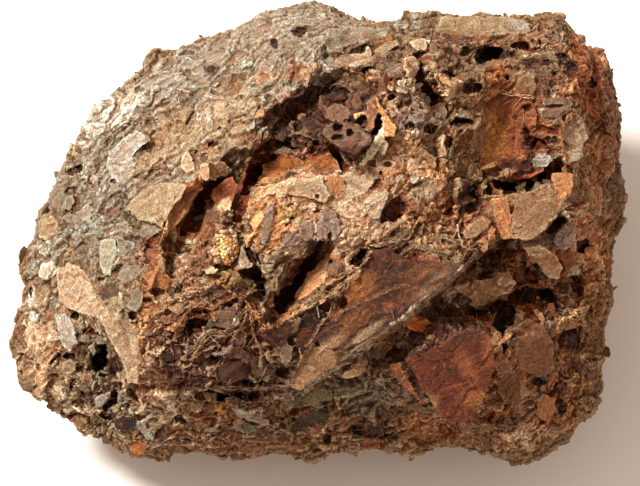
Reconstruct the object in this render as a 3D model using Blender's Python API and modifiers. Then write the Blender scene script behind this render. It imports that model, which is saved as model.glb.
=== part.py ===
"""Garnierite specimen: one hand-sized block of brecciated, boxwork nickel ore, and the crust of small
garnierite beads that grew in its hollow. It rests on a flat break at z = 0.

Blender 4.5, metres, +Z up, +X along the block's longest side. The block's best face leans back from the
table. Everything on it is placed in that face's own frame, in millimetres: across (to the right), up the
face, and out of it."""

import math
import random

import bmesh
import bpy
import numpy as np
from mathutils import noise

MM = 0.001

# Driving dimensions, in millimetres and degrees.
FACE_ELEVATION = math.radians(70)  # how far the face looks up above the table
FACE_CENTRE = (0.216, -1.722, 31.5)  # where the face frame's middle lies in the block's own frame
REST_BREAK = 0.0  # height of the flat break that the block rests on
EDGE_ROUNDING = 1.8  # how softly two neighbouring breaks of the block meet
FACE_CLOSING = 7  # powers of the curves by which the face and the back close in at the outline
BACK_CLOSING = 5
SPREAD = 0.8  # below 1, it moves the sphere's vertices towards the outline, where the walls are steep
SPHERE_LEVELS = 7
ROUNDING = 5  # decimal places of a millimetre
NOISE_SEED = 7
ROCK_TRIANGLES = 8300
ROCK_COLOUR = (0.266, 0.155, 0.088)
BEAD_COLOUR = (0.52, 0.42, 0.16)

# The face's outline, (across, up), anticlockwise from the right.
OUTLINE = [
    (61.4, 9.4), (60.8, 16.0), (61.6, 25.8), (60.0, 32.2), (56.8, 38.0), (53.2, 42.4), (47.8, 45.8),
    (42.2, 45.6), (29.8, 47.2), (22.6, 47.0), (17.6, 45.4), (10.6, 44.6), (5.4, 46.4), (-0.4, 47.6),
    (-6.8, 47.6), (-11.8, 46.8), (-18.2, 43.2), (-25.6, 40.8), (-33.0, 38.8), (-38.6, 34.0),
    (-44.4, 28.2), (-50.6, 19.6), (-51.0, 16.0), (-55.0, 9.4), (-57.8, 2.0), (-60.0, -3.6),
    (-60.4, -8.6), (-61.6, -20.8), (-60.4, -26.4), (-57.8, -31.4), (-51.8, -36.2), (-42.0, -41.6),
    (-35.4, -43.2), (-24.8, -43.6), (-11.0, -43.6), (5.4, -42.4), (11.0, -42.8), (22.6, -42.0),
    (25.0, -41.2), (32.4, -41.6), (37.2, -43.6), (42.2, -44.4), (48.6, -40.4), (55.2, -30.6),
    (58.4, -20.8), (58.6, -15.0), (58.4, -0.4),
]  # fmt: skip

# Broad breaks that bound the block: a point of the outline that each one starts from, its height there,
# and how fast it rises along a direction, per millimetre.
FRONT_BREAKS = [
    ((0.0, 0.0), 32.5, (-0.03, 0.02)),
    ((-50.0, 18.0), 5.0, (0.60, -0.66)),
    ((-61.0, 0.0), 5.0, (1.15, 0.0)),
    ((0.0, 47.0), 6.0, (0.0, -1.9)),
    ((0.0, -44.0), 6.0, (0.0, 1.05)),
    ((61.0, 0.0), 6.0, (-2.6, 0.0)),
    ((58.0, -20.0), 6.0, (-1.04, 0.59)),
    ((-60.0, -25.0), 5.0, (0.75, 0.80)),
]
BACK_BREAKS = [
    ((-60.0, 0.0), 8.0, (0.95, 0.10)),
    ((60.0, 0.0), 10.0, (-1.10, 0.15)),
    ((0.0, -44.0), 9.0, (-0.06, 1.05)),
    ((0.0, 47.0), 13.0, (0.10, -1.30)),
    ((-42.0, 30.0), 6.0, (0.72, -0.70)),
    ((0.0, 0.0), 46.0, (0.0, 0.3)),
]

# Trenches that follow a crack: points of (across, up, half width, depth).
ARCHED_HOLLOW = [
    (-31.5, -10.0, 1.8, 4.0), (-28.5, -2.0, 2.6, 7.0), (-25.2, 5.8, 2.8, 11.0), (-21.5, 9.8, 3.0, 9.5),
    (-17.0, 13.0, 3.2, 11.0), (-10.0, 17.0, 3.4, 9.5), (-2.0, 18.4, 3.0, 8.5), (5.0, 16.4, 2.4, 8.5),
    (9.5, 12.6, 1.6, 6.0),
]  # fmt: skip
DEEP_PIT = [(1.4, -0.6, 1.6, 7.0), (-2.6, -6.0, 3.0, 12.0), (-6.6, -11.4, 2.8, 10.0), (-9.6, -16.0, 1.4, 4.0)]
UPPER_SLOT = [(19.0, 36.0, 1.5, 5.0), (21.0, 30.8, 2.3, 9.0), (24.6, 26.4, 1.8, 7.0)]
SKIN_CRACK = [(1.4, 36.6, 0.9, 2.5), (8.0, 38.6, 1.3, 4.0), (16.0, 40.4, 0.9, 2.5)]
BOWL_SLIT = [(34.0, 11.0, 1.0, 4.0), (39.2, 11.8, 1.5, 7.0), (46.6, 14.2, 1.3, 6.0)]
UNDER_PANEL = [(-4.0, -31.0, 1.6, 1.5), (8.0, -24.0, 2.2, 3.0), (20.0, -17.0, 3.6, 5.0),
               (29.5, -8.0, 4.2, 7.5), (35.5, -2.5, 3.2, 6.5)]  # fmt: skip
UNDER_HEAP = [(-14.6, -3.6, 1.2, 4.0), (-11.6, -7.6, 1.7, 5.0), (-10.8, -12.0, 1.2, 3.5)]
TRENCHES = [ARCHED_HOLLOW, DEEP_PIT, UPPER_SLOT, SKIN_CRACK, BOWL_SLIT, UNDER_PANEL, UNDER_HEAP]

# Hollows and lumps: (across, up), half length, half width, turn in degrees, depth or height, wall width.
HOLLOWS = {
    "upper hollow": ((-1.0, 26.6), 12.5, 4.8, 28, 6.5, 0.30),
    "right bowl": ((40.6, 18.8), 18.0, 13.0, 80, 8.5, 0.75),
    "lower right recess": ((40.5, -9.6), 14.5, 6.5, 14, 10.0, 0.45),
    "green pocket": ((-4.0, -33.0), 8.0, 4.0, 14, 4.0, 0.40),
    "left pit": ((-42.0, -23.8), 4.6, 3.0, 25, 5.5, 0.25),
    "lower left pit": ((-47.6, -30.4), 3.0, 2.0, 60, 3.5, 0.25),
    "long lower slot": ((-19.4, -30.2), 5.4, 1.5, 4, 4.5, 0.30),
    "short lower slot": ((-16.0, -25.6), 4.4, 1.8, 18, 3.0, 0.30),
    "round hole": ((28.4, 24.8), 2.3, 1.2, 0, 4.5, 0.30),
    "rim hole": ((34.0, 38.0), 3.0, 2.0, 20, 4.0, 0.30),
    "second rim hole": ((41.4, 38.8), 3.8, 1.7, 0, 3.5, 0.30),
    "septum hole": ((7.6, -2.8), 1.7, 1.1, 35, 3.0, 0.30),
    "bowl hole": ((43.0, 15.8), 2.6, 1.6, -30, 2.5, 0.40),
    "right lower gap": ((54.0, -34.0), 2.6, 1.6, 40, 3.0, 0.35),
    "foot gap": ((18.5, -40.0), 4.5, 2.0, -20, 3.0, 0.40),
}
LUMPS = {
    "island": ((-1.0, 6.5), 17.0, 8.0, 12, 2.2, 0.30),
    "hollow's clast": ((6.0, 21.2), 4.8, 3.2, -15, 3.0, 0.45),
    "clast right of the hollow": ((16.6, 23.2), 4.6, 5.4, 0, 1.8, 0.45),
    "upper grey clast": ((13.4, 31.0), 4.4, 3.0, 30, 1.6, 0.45),
    "bead heap": ((-19.0, -4.2), 6.4, 4.8, 10, 2.0, 0.40),
    "boulder in the recess": ((31.5, -7.6), 7.0, 3.0, 22, 4.5, 0.40),
    "bowl ledge": ((43.2, 6.2), 8.4, 4.2, 14, 5.0, 0.35),
    "left knuckle": ((-37.0, -17.0), 4.0, 9.0, 20, 1.8, 0.60),
    "lower right knuckle": ((42.0, -38.6), 7.5, 4.2, 0, 2.0, 0.50),
    "foot knuckle": ((24.6, -39.6), 3.2, 2.6, 0, 1.6, 0.50),
    "skin shoulder": ((-12.0, 36.0), 9.0, 5.0, 20, 1.6, 0.70),
}

# Flat clasts that stand out of the face: corners (across, up), anticlockwise, height and tilt per mm.
PLATES = {
    "long panel": ([(-7.0, -30.4), (16.0, -16.5), (32.0, -0.5), (3.0, -13.0)], 2.4, (0.0, 0.04)),
    "rust clast": (
        [(13.0, -24.4), (27.0, -37.8), (34.0, -31.4), (33.4, -15.0), (21.0, -16.4)], 2.2, (0.0, -0.05)
    ),
    "orange clast": (
        [(-36.0, 7.6), (-34.0, 3.6), (-28.4, 0.6), (-24.4, 5.6), (-23.4, 12.2), (-31.0, 12.6)],
        1.6, (0.08, 0.0)
    ),
    "pale clast": (
        [(-43.0, 15.6), (-39.0, 12.4), (-34.6, 19.0), (-34.0, 23.0), (-39.6, 22.6)], 1.0, (0.0, 0.0)
    ),
    "green clast": ([(-44.0, 0.0), (-42.2, -7.4), (-39.4, -4.0), (-40.4, 2.6)], 0.8, (0.0, 0.0)),
    "lower grey clast": (
        [(-22.0, -28.6), (-15.4, -27.4), (-14.0, -22.4), (-20.6, -22.8)], 1.2, (0.0, 0.0)
    ),
}  # fmt: skip

# Thin walls of vein mineral that stand out of the face: points, half width and height.
SEPTA = [
    ([(-10.6, -17.2), (-3.0, -12.6), (4.0, -9.0), (9.5, -4.8), (16.0, -2.0)], 0.8, 2.0),
    ([(-7.4, -30.6), (4.0, -24.2), (16.4, -16.2), (26.0, -7.0), (31.6, 0.0)], 0.9, 1.8),
    ([(-10.8, -17.0), (-12.2, -10.0), (-14.6, -4.4)], 0.7, 1.8),
    ([(48.6, 26.0), (47.6, 18.0), (49.4, 9.0)], 0.8, 2.4),
    ([(-31.0, -16.0), (-22.0, -13.6), (-14.0, -13.0)], 0.7, 1.2),
    ([(26.0, 30.0), (33.0, 34.5), (44.0, 34.5), (50.0, 30.0)], 0.9, 1.6),
]

# The bead crust sits on a small level seat in the arched hollow.
SEAT = (-18.6, -1.0)
SEAT_RADIUS = 4.2
SEAT_HEIGHT = 30.6
BEAD_COUNT = 26
BEAD_FACE_SHARE = 0.5
BEAD_RADII = (0.55, 1.0)
CRUST_HALF_SIZE = (2.3, 3.1)
CRUST_HEAP = 1.4  # how much higher the crust stands in its middle
BEAD_LIFT = 0.6  # share of a bead's radius that lifts it off the crust's foot
CONTACT_GAP = 0.3

# Walls of the forms on the face, as shares of their half width: where they start and where they end.
TRENCH_WALL = (0.55, 1.35)
SEPTUM_WALL = (0.3, 1.6)
PLATE_WALL = (-0.4, 0.9)  # in millimetres inside the plate's sides
WANDER = (6.0, 0.9)  # size and reach of the waviness of every outline on the face

# Broken texture over the whole block: cell size, and the slope of the flat-faced chunks.
CHUNKS = [(19.0, 0.13), (7.5, 0.15), (3.6, 0.13)]
CHUNK_STEP = 0.35  # height of the steps between chunks, against the slope
OVERHANG = (9.0, 1.5)  # size and reach of the undercuts
CALM_BOWL = 0.7  # share of the chunks that the smooth bowl loses


def face_axes():
    """The face frame's axes in the block's frame: across, up and out."""
    up = (0.0, math.sin(FACE_ELEVATION), math.cos(FACE_ELEVATION))
    out = (0.0, -math.cos(FACE_ELEVATION), math.sin(FACE_ELEVATION))
    return np.array([(1.0, 0.0, 0.0), up, out])


def smoothstep(low, high, value):
    t = np.clip((value - low) / (high - low), 0.0, 1.0)
    return t * t * (3.0 - 2.0 * t)


def outline_radius(angle):
    """Distance from the face's middle to its outline, in the direction of each angle."""
    corners = np.array(OUTLINE)
    turns = np.unwrap(np.arctan2(corners[:, 1], corners[:, 0]))
    reach = np.hypot(corners[:, 0], corners[:, 1])
    turns = np.append(turns, turns[0] + 2 * math.pi)
    reach = np.append(reach, reach[0])
    return np.interp((angle - turns[0]) % (2 * math.pi) + turns[0], turns, reach)


def breaks_height(breaks, across, up):
    """Height of the lowest break above each point, with the edges between breaks rounded."""
    heights = [
        height + rise[0] * (across - start[0]) + rise[1] * (up - start[1])
        for start, height, rise in breaks
    ]
    return -EDGE_ROUNDING * np.log(sum(np.exp(-h / EDGE_ROUNDING) for h in heights))


def ellipse(across, up, middle, length, width, turn, wall):
    """1 inside an ellipse and 0 outside it. wall is the share of its radius that its edge takes."""
    c, s = math.cos(math.radians(turn)), math.sin(math.radians(turn))
    x, y = across - middle[0], up - middle[1]
    return 1.0 - smoothstep(1.0 - wall, 1.0 + wall, np.hypot((c * x + s * y) / length, (c * y - s * x) / width))


def nearest_on_path(across, up, path):
    """Distance to the nearest stretch of a path, and that place's own values, interpolated."""
    best = np.full(across.shape, 1e9)
    values = np.zeros(across.shape + (len(path[0]) - 2,))
    for start, end in zip(np.array(path[:-1]), np.array(path[1:])):
        run = end[:2] - start[:2]
        t = ((across - start[0]) * run[0] + (up - start[1]) * run[1]) / run.dot(run)
        t = np.clip(t, 0.0, 1.0)
        distance = np.hypot(across - start[0] - t * run[0], up - start[1] - t * run[1])
        nearer = distance < best
        best = np.where(nearer, distance, best)
        values[nearer] = (start[2:] + t[:, None] * (end[2:] - start[2:]))[nearer]
    return best, values


def trench_depth(across, up, path):
    distance, values = nearest_on_path(across, up, path)
    return values[:, 1] * (1.0 - smoothstep(*TRENCH_WALL, distance / values[:, 0]))


def septum_height(across, up, path, half_width, height):
    distance, _ = nearest_on_path(across, up, path)
    return height * (1.0 - smoothstep(*SEPTUM_WALL, distance / half_width))


def plate_height(across, up, corners, height, tilt):
    """Height of a flat clast: level or tilted inside its corners, and falling steeply at its sides."""
    inside = np.full(across.shape, 1e9)
    for (ax, ay), (bx, by) in zip(corners, corners[1:] + corners[:1]):
        side = math.hypot(bx - ax, by - ay)
        inside = np.minimum(inside, ((bx - ax) * (up - ay) - (by - ay) * (across - ax)) / side)
    middle = np.mean(corners, axis=0)
    top = height + tilt[0] * (across - middle[0]) + tilt[1] * (up - middle[1])
    return top * smoothstep(*PLATE_WALL, inside)


def face_height(across, up):
    """How far the face stands out at each point, with its hollows, lumps, clasts and thin walls."""
    size, reach = WANDER
    wander = np.array([noise.noise_vector((x / size, y / size, 0.0)) for x, y in zip(across, up)])
    x, y = across + reach * wander[:, 0], up + reach * wander[:, 1]
    height = breaks_height(FRONT_BREAKS, x, y)
    for middle, length, width, turn, depth, wall in HOLLOWS.values():
        height -= depth * ellipse(x, y, middle, length, width, turn, wall)
    for middle, length, width, turn, rise, wall in LUMPS.values():
        height += rise * ellipse(x, y, middle, length, width, turn, wall)
    for path in TRENCHES:
        height -= trench_depth(x, y, path)
    for corners, rise, tilt in PLATES.values():
        height += plate_height(x, y, corners, rise, tilt)
    for path, half_width, rise in SEPTA:
        height += septum_height(x, y, path, half_width, rise)
    return height


def seat_share(across, up):
    """1 on the level seat under the bead crust, and 0 away from it."""
    return ellipse(across, up, SEAT, SEAT_RADIUS, SEAT_RADIUS, 0, 0.25)


def chunky(points, size, relief):
    """Relief of flat-faced chunks: each cell of a random mosaic is a plane with its own tilt."""
    rises = np.empty(len(points))
    for i, p in enumerate(points / size):
        centre = noise.voronoi(p, distance_metric="DISTANCE")[1][0]
        tilt = noise.cell_vector(centre * 7.3)
        slope = [value - 0.5 for value in tilt]
        rises[i] = sum((p[axis] - centre[axis]) * slope[axis] for axis in range(3))
        rises[i] += CHUNK_STEP * slope[0]
    return rises * relief * size


def ball_directions(bm):
    """Makes a fine sphere, and gives its vertices' directions, read as across, up and out."""
    bmesh.ops.create_icosphere(bm, subdivisions=SPHERE_LEVELS, radius=1.0)
    return np.array([v.co for v in bm.verts])


def block_points(directions):
    """Maps a sphere onto the block, in the face frame: its near half is the face, its far half the back."""
    flat = np.hypot(directions[:, 0], directions[:, 1])
    angle = np.arctan2(directions[:, 1], directions[:, 0])
    share = flat**SPREAD
    reach = outline_radius(angle) * share
    across, up = reach * np.cos(angle), reach * np.sin(angle)
    front = face_height(across, up) * np.sqrt(np.clip(1.0 - share**FACE_CLOSING, 0.0, 1.0))
    seat = seat_share(across, up)
    front += seat * (SEAT_HEIGHT - front)
    back = -breaks_height(BACK_BREAKS, across, up) * np.sqrt(np.clip(1.0 - share**BACK_CLOSING, 0.0, 1.0))
    return np.stack([across, up, np.where(directions[:, 2] > 0, front, back)], axis=1)


def write_points(bm, points):
    """Moves the vertices to points, which are rounded so that every run gives the same faces."""
    for vertex, point in zip(bm.verts, np.round(points, ROUNDING)):
        vertex.co = point
    bm.normal_update()


def roughen(bm):
    """Breaks the block's surface into flat-faced chunks, then undercuts its steeper walls."""
    points = np.array([v.co for v in bm.verts])
    normals = np.array([v.normal for v in bm.verts])
    seat = seat_share(points[:, 0], points[:, 1]) * (points[:, 2] > 0)
    bowl = ellipse(points[:, 0], points[:, 1], *HOLLOWS["right bowl"][:4], 0.4) * (points[:, 2] > 0)
    for size, relief in CHUNKS:
        rises = chunky(points, size, relief) * (1.0 - seat) * (1.0 - CALM_BOWL * bowl)
        points = points + rises[:, None] * normals
    size, reach = OVERHANG
    drift = np.array([noise.noise_vector(p / size) for p in points])
    write_points(bm, points + reach * (1.0 - seat)[:, None] * drift)


def turn_to_block_frame(bm):
    """Leans the face back, and sets the block over its origin. Still in millimetres."""
    points = np.array([v.co for v in bm.verts])
    write_points(bm, points @ face_axes() + np.array(FACE_CENTRE))


def cut_rest_break(bm):
    """Cuts the block off flat where it rests, and closes the cut."""
    faces = bmesh.ops.bisect_plane(
        bm,
        geom=bm.verts[:] + bm.edges[:] + bm.faces[:],
        plane_co=(0.0, 0.0, REST_BREAK),
        plane_no=(0.0, 0.0, -1.0),
        clear_outer=True,
    )
    rim = [item for item in faces["geom_cut"] if isinstance(item, bmesh.types.BMEdge)]
    bmesh.ops.holes_fill(bm, edges=rim, sides=0)
    bmesh.ops.triangulate(bm, faces=[f for f in bm.faces if len(f.verts) > 4])
    keep_one_body(bm)
    bmesh.ops.recalc_face_normals(bm, faces=bm.faces[:])


def keep_one_body(bm):
    """Removes the tips of overhangs that the cut has left loose from the block."""
    left = set(bm.verts)
    bodies = []
    while left:
        body, edge = set(), {left.pop()}
        while edge:
            body |= edge
            edge = {e.other_vert(v) for v in edge for e in v.link_edges} - body
        left -= body
        bodies.append(body)
    crumbs = [v for body in sorted(bodies, key=len)[:-1] for v in body]
    bmesh.ops.delete(bm, geom=crumbs, context="VERTS")


def material(name, colour, roughness):
    made = bpy.data.materials.new(name)
    made.use_nodes = True
    shader = made.node_tree.nodes["Principled BSDF"]
    shader.inputs["Base Color"].default_value = (*colour, 1.0)
    shader.inputs["Roughness"].default_value = roughness
    shader.inputs["Metallic"].default_value = 0.0
    return made


def add_object(name, bm, collection, finish):
    """Makes an object in metres from a shape in millimetres."""
    bmesh.ops.scale(bm, verts=bm.verts[:], vec=(MM, MM, MM))
    mesh = bpy.data.meshes.new(name)
    bm.to_mesh(mesh)
    bm.free()
    obj = bpy.data.objects.new(name, mesh)
    obj.data.materials.append(finish)
    collection.objects.link(obj)
    return obj


def fewer_faces(bm, triangles):
    """The same shape with few enough faces, which stay small where it bends most."""
    mesh = bpy.data.meshes.new("fine block")
    bm.to_mesh(mesh)
    fine = bpy.data.objects.new("fine block", mesh)
    bpy.context.scene.collection.objects.link(fine)
    fewer = fine.modifiers.new("Fewer faces", "DECIMATE")
    fewer.ratio = triangles / len(bm.faces)
    bm.clear()
    bm.from_mesh(fine.evaluated_get(bpy.context.evaluated_depsgraph_get()).data)
    bpy.data.objects.remove(fine)


def build_rock(collection):
    """The block itself: breccia, its hollows and the thin walls of vein mineral, all grown as one."""
    bm = bmesh.new()
    write_points(bm, block_points(ball_directions(bm)))
    roughen(bm)
    fewer_faces(bm, ROCK_TRIANGLES)
    turn_to_block_frame(bm)
    cut_rest_break(bm)
    add_object("boxwork_rock", bm, collection, material("weathered breccia", ROCK_COLOUR, 0.85))


def bead_places():
    """Places and radii of the beads: a sunflower spread that heaps up in its middle."""
    chance = random.Random(5)
    for i in range(BEAD_COUNT):
        share = math.sqrt((i + 0.5) / BEAD_COUNT)
        turn = i * math.radians(137.5)
        radius = chance.uniform(*BEAD_RADII)
        x = CRUST_HALF_SIZE[0] * share * math.cos(turn)
        y = CRUST_HALF_SIZE[1] * share * math.sin(turn)
        yield x, y, BEAD_LIFT * radius + CRUST_HEAP * (1.0 - share), radius


def build_beads(collection):
    """The crust of garnierite beads, grown together, on the seat in the arched hollow."""
    bm = bmesh.new()
    base = SEAT_HEIGHT + CONTACT_GAP + BEAD_RADII[1]
    for x, y, lift, radius in bead_places():
        ball = bmesh.ops.create_icosphere(bm, subdivisions=2, radius=radius)
        bmesh.ops.translate(bm, verts=ball["verts"], vec=(SEAT[0] + x, SEAT[1] + y, base + lift))
    turn_to_block_frame(bm)
    beads = add_object("garnierite_beads", bm, collection, material("garnierite", BEAD_COLOUR, 0.45))
    fuse = beads.modifiers.new("Grown together", "REMESH")
    fuse.mode = "VOXEL"
    fuse.voxel_size = 0.28 * MM
    fewer = beads.modifiers.new("Fewer faces", "DECIMATE")
    fewer.ratio = BEAD_FACE_SHARE


def main():
    for obj in list(bpy.data.objects):
        bpy.data.objects.remove(obj)
    noise.seed_set(NOISE_SEED)
    specimen = bpy.data.collections.new("Garnierite specimen")
    bpy.context.scene.collection.children.link(specimen)
    build_rock(specimen)
    build_beads(specimen)


main()
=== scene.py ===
"""Looks of the garnierite specimen: a block of brecciated boxwork nickel ore and its crust of beads.

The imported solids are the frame. The block's surface is grown from its solid: hollows are cut into it,
flat fragments and clasts are laid on it, and all of it is joined in one stone and broken into ledges and
angular fragments. Everything on its best face is placed in that face's own frame, in millimetres: across
(to the right), up the face, and out of it."""

import math
import random
from itertools import chain

import bmesh
import bpy
import numpy as np
from mathutils import Matrix, Vector
from mathutils.bvhtree import BVHTree


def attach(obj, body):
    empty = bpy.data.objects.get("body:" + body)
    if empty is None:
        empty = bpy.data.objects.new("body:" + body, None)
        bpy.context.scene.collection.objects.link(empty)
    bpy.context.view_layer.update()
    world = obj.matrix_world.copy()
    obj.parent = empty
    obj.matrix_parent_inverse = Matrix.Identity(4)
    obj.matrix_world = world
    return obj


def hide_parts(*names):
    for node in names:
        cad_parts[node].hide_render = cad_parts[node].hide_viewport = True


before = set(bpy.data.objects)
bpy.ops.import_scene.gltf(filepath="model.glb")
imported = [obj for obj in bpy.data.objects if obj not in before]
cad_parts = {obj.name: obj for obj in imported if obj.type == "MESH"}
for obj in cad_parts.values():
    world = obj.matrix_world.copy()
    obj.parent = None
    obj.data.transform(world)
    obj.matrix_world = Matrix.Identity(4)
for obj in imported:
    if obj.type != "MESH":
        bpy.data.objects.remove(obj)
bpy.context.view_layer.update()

MM = 0.001
BODY = "root"
ROCK, ROCK_SLOT = "boxwork_rock", "weathered_breccia"
BEADS, BEAD_SLOT = "garnierite_beads", "garnierite"

# The best face's frame, as in the block's source.
FACE_ELEVATION = math.radians(70)
FACE_CENTRE = np.array((0.216, -1.722, 31.5))
ACROSS = np.array((1.0, 0.0, 0.0))
UP = np.array((0.0, math.sin(FACE_ELEVATION), math.cos(FACE_ELEVATION)))
OUT = np.array((0.0, -math.cos(FACE_ELEVATION), math.sin(FACE_ELEVATION)))
FACE_AXES = np.array([ACROSS, UP, OUT])

GRAIN = 0.35  # of the surface's mesh, in millimetres
SURFACE_TRIANGLES = 680000
FABRIC_TURN = 38.0  # degrees that the block's ledges rise to the right

# Camera, in millimetres, and light.
FIELD_WIDTH = 128.0  # what the picture spans across the face
CAMERA_DISTANCE = 1500.0
VIEW_DEPTH = 15.0  # how far out of the face's middle the camera looks at
KEY_SIZE, KEY_DISTANCE, KEY_POWER = 0.34, 1.2, 29.0  # metres, metres and watts
KEY_ACROSS, KEY_UP, KEY_OUT = -0.55, 0.52, 0.65  # the way from the block to the key
KEY_COLOUR = (1.0, 0.97, 0.93)
SURROUND_COLOUR, SURROUND_STRENGTH = (1.0, 0.80, 0.67, 1.0), 0.7


# The kinds of node that are used most.
MATH, VECTORS, RANGE = "ShaderNodeMath", "ShaderNodeVectorMath", "ShaderNodeMapRange"
VORONOI, NOISE = "ShaderNodeTexVoronoi", "ShaderNodeTexNoise"
PARTS, MIX = "ShaderNodeSeparateXYZ", "ShaderNodeMix"
PAINT, RANDOM = "ShaderNodeAttribute", "FunctionNodeRandomValue"
READ, KEEP = "GeometryNodeInputNamedAttribute", "GeometryNodeStoreNamedAttribute"
OF_COLOURS = {"data_type": "RGBA", "clamp_factor": True}
GREY = (0.5, 0.5, 0.5)  # the middle of what a noise or a cell's colour gives


# ---- small tools
def linear(hex_colour):
    """Linear colour of an sRGB hex value."""
    parts = [int(hex_colour[i : i + 2], 16) / 255 for i in (1, 3, 5)]
    return [c / 12.92 if c <= 0.04045 else ((c + 0.055) / 1.055) ** 2.4 for c in parts]


def smoothstep(low, high, value):
    t = np.clip((value - low) / (high - low), 0.0, 1.0)
    return t * t * (3.0 - 2.0 * t)


def to_face(points):
    """Points of the row's frame, in metres, as across, up and out in millimetres."""
    return (points / MM - FACE_CENTRE) @ FACE_AXES.T


def from_face(points):
    return (np.asarray(points) @ FACE_AXES + FACE_CENTRE) * MM


def read_points(mesh):
    points = np.empty(len(mesh.vertices) * 3)
    mesh.vertices.foreach_get("co", points)
    return points.reshape(-1, 3)


def write_points(mesh, points):
    mesh.vertices.foreach_set("co", np.round(points, 8).astype(np.float32).ravel())
    mesh.update()


def store(mesh, name, values, kind="FLOAT"):
    """Keeps one value, vector or colour per vertex under a name that materials and node trees read."""
    attribute = mesh.attributes.get(name) or mesh.attributes.new(name, kind, "POINT")
    field = {"FLOAT": "value", "FLOAT_VECTOR": "vector", "FLOAT_COLOR": "color"}[kind]
    attribute.data.foreach_set(field, np.ascontiguousarray(values, dtype=np.float32).ravel())


def recall(mesh, name):
    """The vectors, one per vertex, that a node tree kept under a name."""
    vectors = np.empty(len(mesh.vertices) * 3)
    mesh.attributes[name].data.foreach_get("vector", vectors)
    return vectors.reshape(-1, 3)


def node(tree, kind, inputs=(), **settings):
    """Adds a node. inputs holds values or what feeds them, in order or by socket. settings are properties."""
    made = tree.nodes.new(kind)
    for name, value in settings.items():
        setattr(made, name, value)
    for socket, value in inputs.items() if isinstance(inputs, dict) else enumerate(inputs):
        if isinstance(value, bpy.types.Node):
            value = value.outputs[0]
        if isinstance(value, bpy.types.NodeSocket):
            tree.links.new(value, made.inputs[socket])
        else:
            made.inputs[socket].default_value = value
    return made


def evaluated_mesh(obj):
    """The object's mesh with its modifiers applied, in place of the object's own."""
    graph = bpy.context.evaluated_depsgraph_get()
    mesh = bpy.data.meshes.new_from_object(obj.evaluated_get(graph), depsgraph=graph)
    obj.modifiers.clear()
    obj.data = mesh
    return mesh


def new_object(name, mesh):
    obj = bpy.data.objects.new(name, mesh)
    bpy.context.scene.collection.objects.link(obj)
    return obj


def mesh_of(bm, name):
    mesh = bpy.data.meshes.new(name)
    bm.to_mesh(mesh)
    bm.free()
    return mesh


def drop(obj):
    """Objects that only helped to make others are taken away."""
    bpy.data.objects.remove(obj)


# ---- places on the face
def along_path(place, path):
    """Distance to the nearest stretch of a path, and that place's other values, interpolated."""
    best = np.full(len(place), 1e9)
    values = np.zeros((len(place), len(path[0]) - 2))
    for start, end in zip(np.array(path[:-1], dtype=float), np.array(path[1:], dtype=float)):
        run = end[:2] - start[:2]
        t = np.clip(((place - start[:2]) @ run) / run.dot(run), 0.0, 1.0)
        distance = np.linalg.norm(place - start[:2] - t[:, None] * run, axis=1)
        nearer = distance < best
        best = np.where(nearer, distance, best)
        values[nearer] = (start[2:] + t[:, None] * (end[2:] - start[2:]))[nearer]
    return best, values


def ellipse(place, middle, length, width, turn, wall):
    """1 inside an ellipse and 0 outside it. wall is the share of its radius that its edge takes."""
    c, s = math.cos(math.radians(turn)), math.sin(math.radians(turn))
    x, y = place[:, 0] - middle[0], place[:, 1] - middle[1]
    reach = np.hypot((c * x + s * y) / length, (c * y - s * x) / width)
    return 1.0 - smoothstep(1.0 - wall, 1.0 + wall, reach)


def inside(place, outline):
    """Whether each place lies inside a closed outline."""
    odd = np.zeros(len(place), bool)
    for (ax, ay), (bx, by) in zip(outline, outline[1:] + outline[:1]):
        spans = (place[:, 1] < ay) != (place[:, 1] < by)
        if ay != by:
            odd ^= spans & (place[:, 0] < ax + (place[:, 1] - ay) * (bx - ax) / (by - ay))
    return odd


def height_at(ground, place):
    """How far out the block's surface lies at a place on its face, or None beside it."""
    start = Vector(from_face((place[0], place[1], 70.0)))
    hit = ground.ray_cast(start, Vector(-OUT))[0]
    return None if hit is None else float(to_face(np.array(hit)[None])[0, 2])


def plane_through(ground, outline):
    """The plane that a flat fragment lies on: through the higher half of the surface below its outline."""
    middle = np.mean(outline, axis=0)
    spots = [middle + share * (np.array(p) - middle) for p in outline for share in (0.0, 0.45, 0.9)]
    found = [(1.0, s[0], s[1], height_at(ground, s)) for s in spots]
    found = np.array([f for f in found if f[3] is not None])
    high = found[:, 3] >= np.median(found[:, 3]) - 0.01
    fit = np.linalg.lstsq(found[high, :3], found[high, 3], rcond=None)[0]
    steep = np.hypot(fit[1], fit[2])
    if steep > 0.7:
        fit[1:] *= 0.7 / steep
        fit[0] = np.median(found[high, 3]) - fit[1:] @ middle
    return fit
# ---- what lies on the best face
# Everything below is in millimetres across and up the face, with turns in degrees.
#
# The stains and minerals that colour the block.
BLACK_BROWN = "#24160f"  # rock in deep shade, with manganese
MAROON = "#451d12"  # hematite, dark
COCOA = "#40271c"  # iron-stained rock, dark
HEMATITE = "#5c2a16"  # hematite
RED_OCHRE = "#7c3a1c"  # hematite, powdery
UMBER = "#573e2c"  # goethite, dark
TOBACCO = "#6e4629"  # goethite
LIVER = "#6c463a"  # iron-stained serpentine
BROWN = "#6a513e"  # weathered rock
RUST = "#8a4e2e"  # rust
AMBER = "#9e6434"  # goethite crust, lit
ORANGE = "#bc6830"  # fresh limonite
BRICK = "#b0563a"  # red limonite
CARAMEL = "#885f40"  # limonite, brown
COPPER = "#aa744a"  # limonite, orange
OCHRE = "#a37c48"  # limonite, yellow
GOLD = "#c48f4c"  # limonite, yellow and lit
APRICOT = "#cf9a68"  # limonite over silica
MAUVE = "#7d655c"  # grey-purple serpentine
MUSHROOM = "#857060"  # grey-brown serpentine
TAUPE = "#7e725e"  # weathered serpentine
OLIVE_GREY = "#878070"  # weathered serpentine, paler
STONE = "#968a76"  # bleached rock
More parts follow.
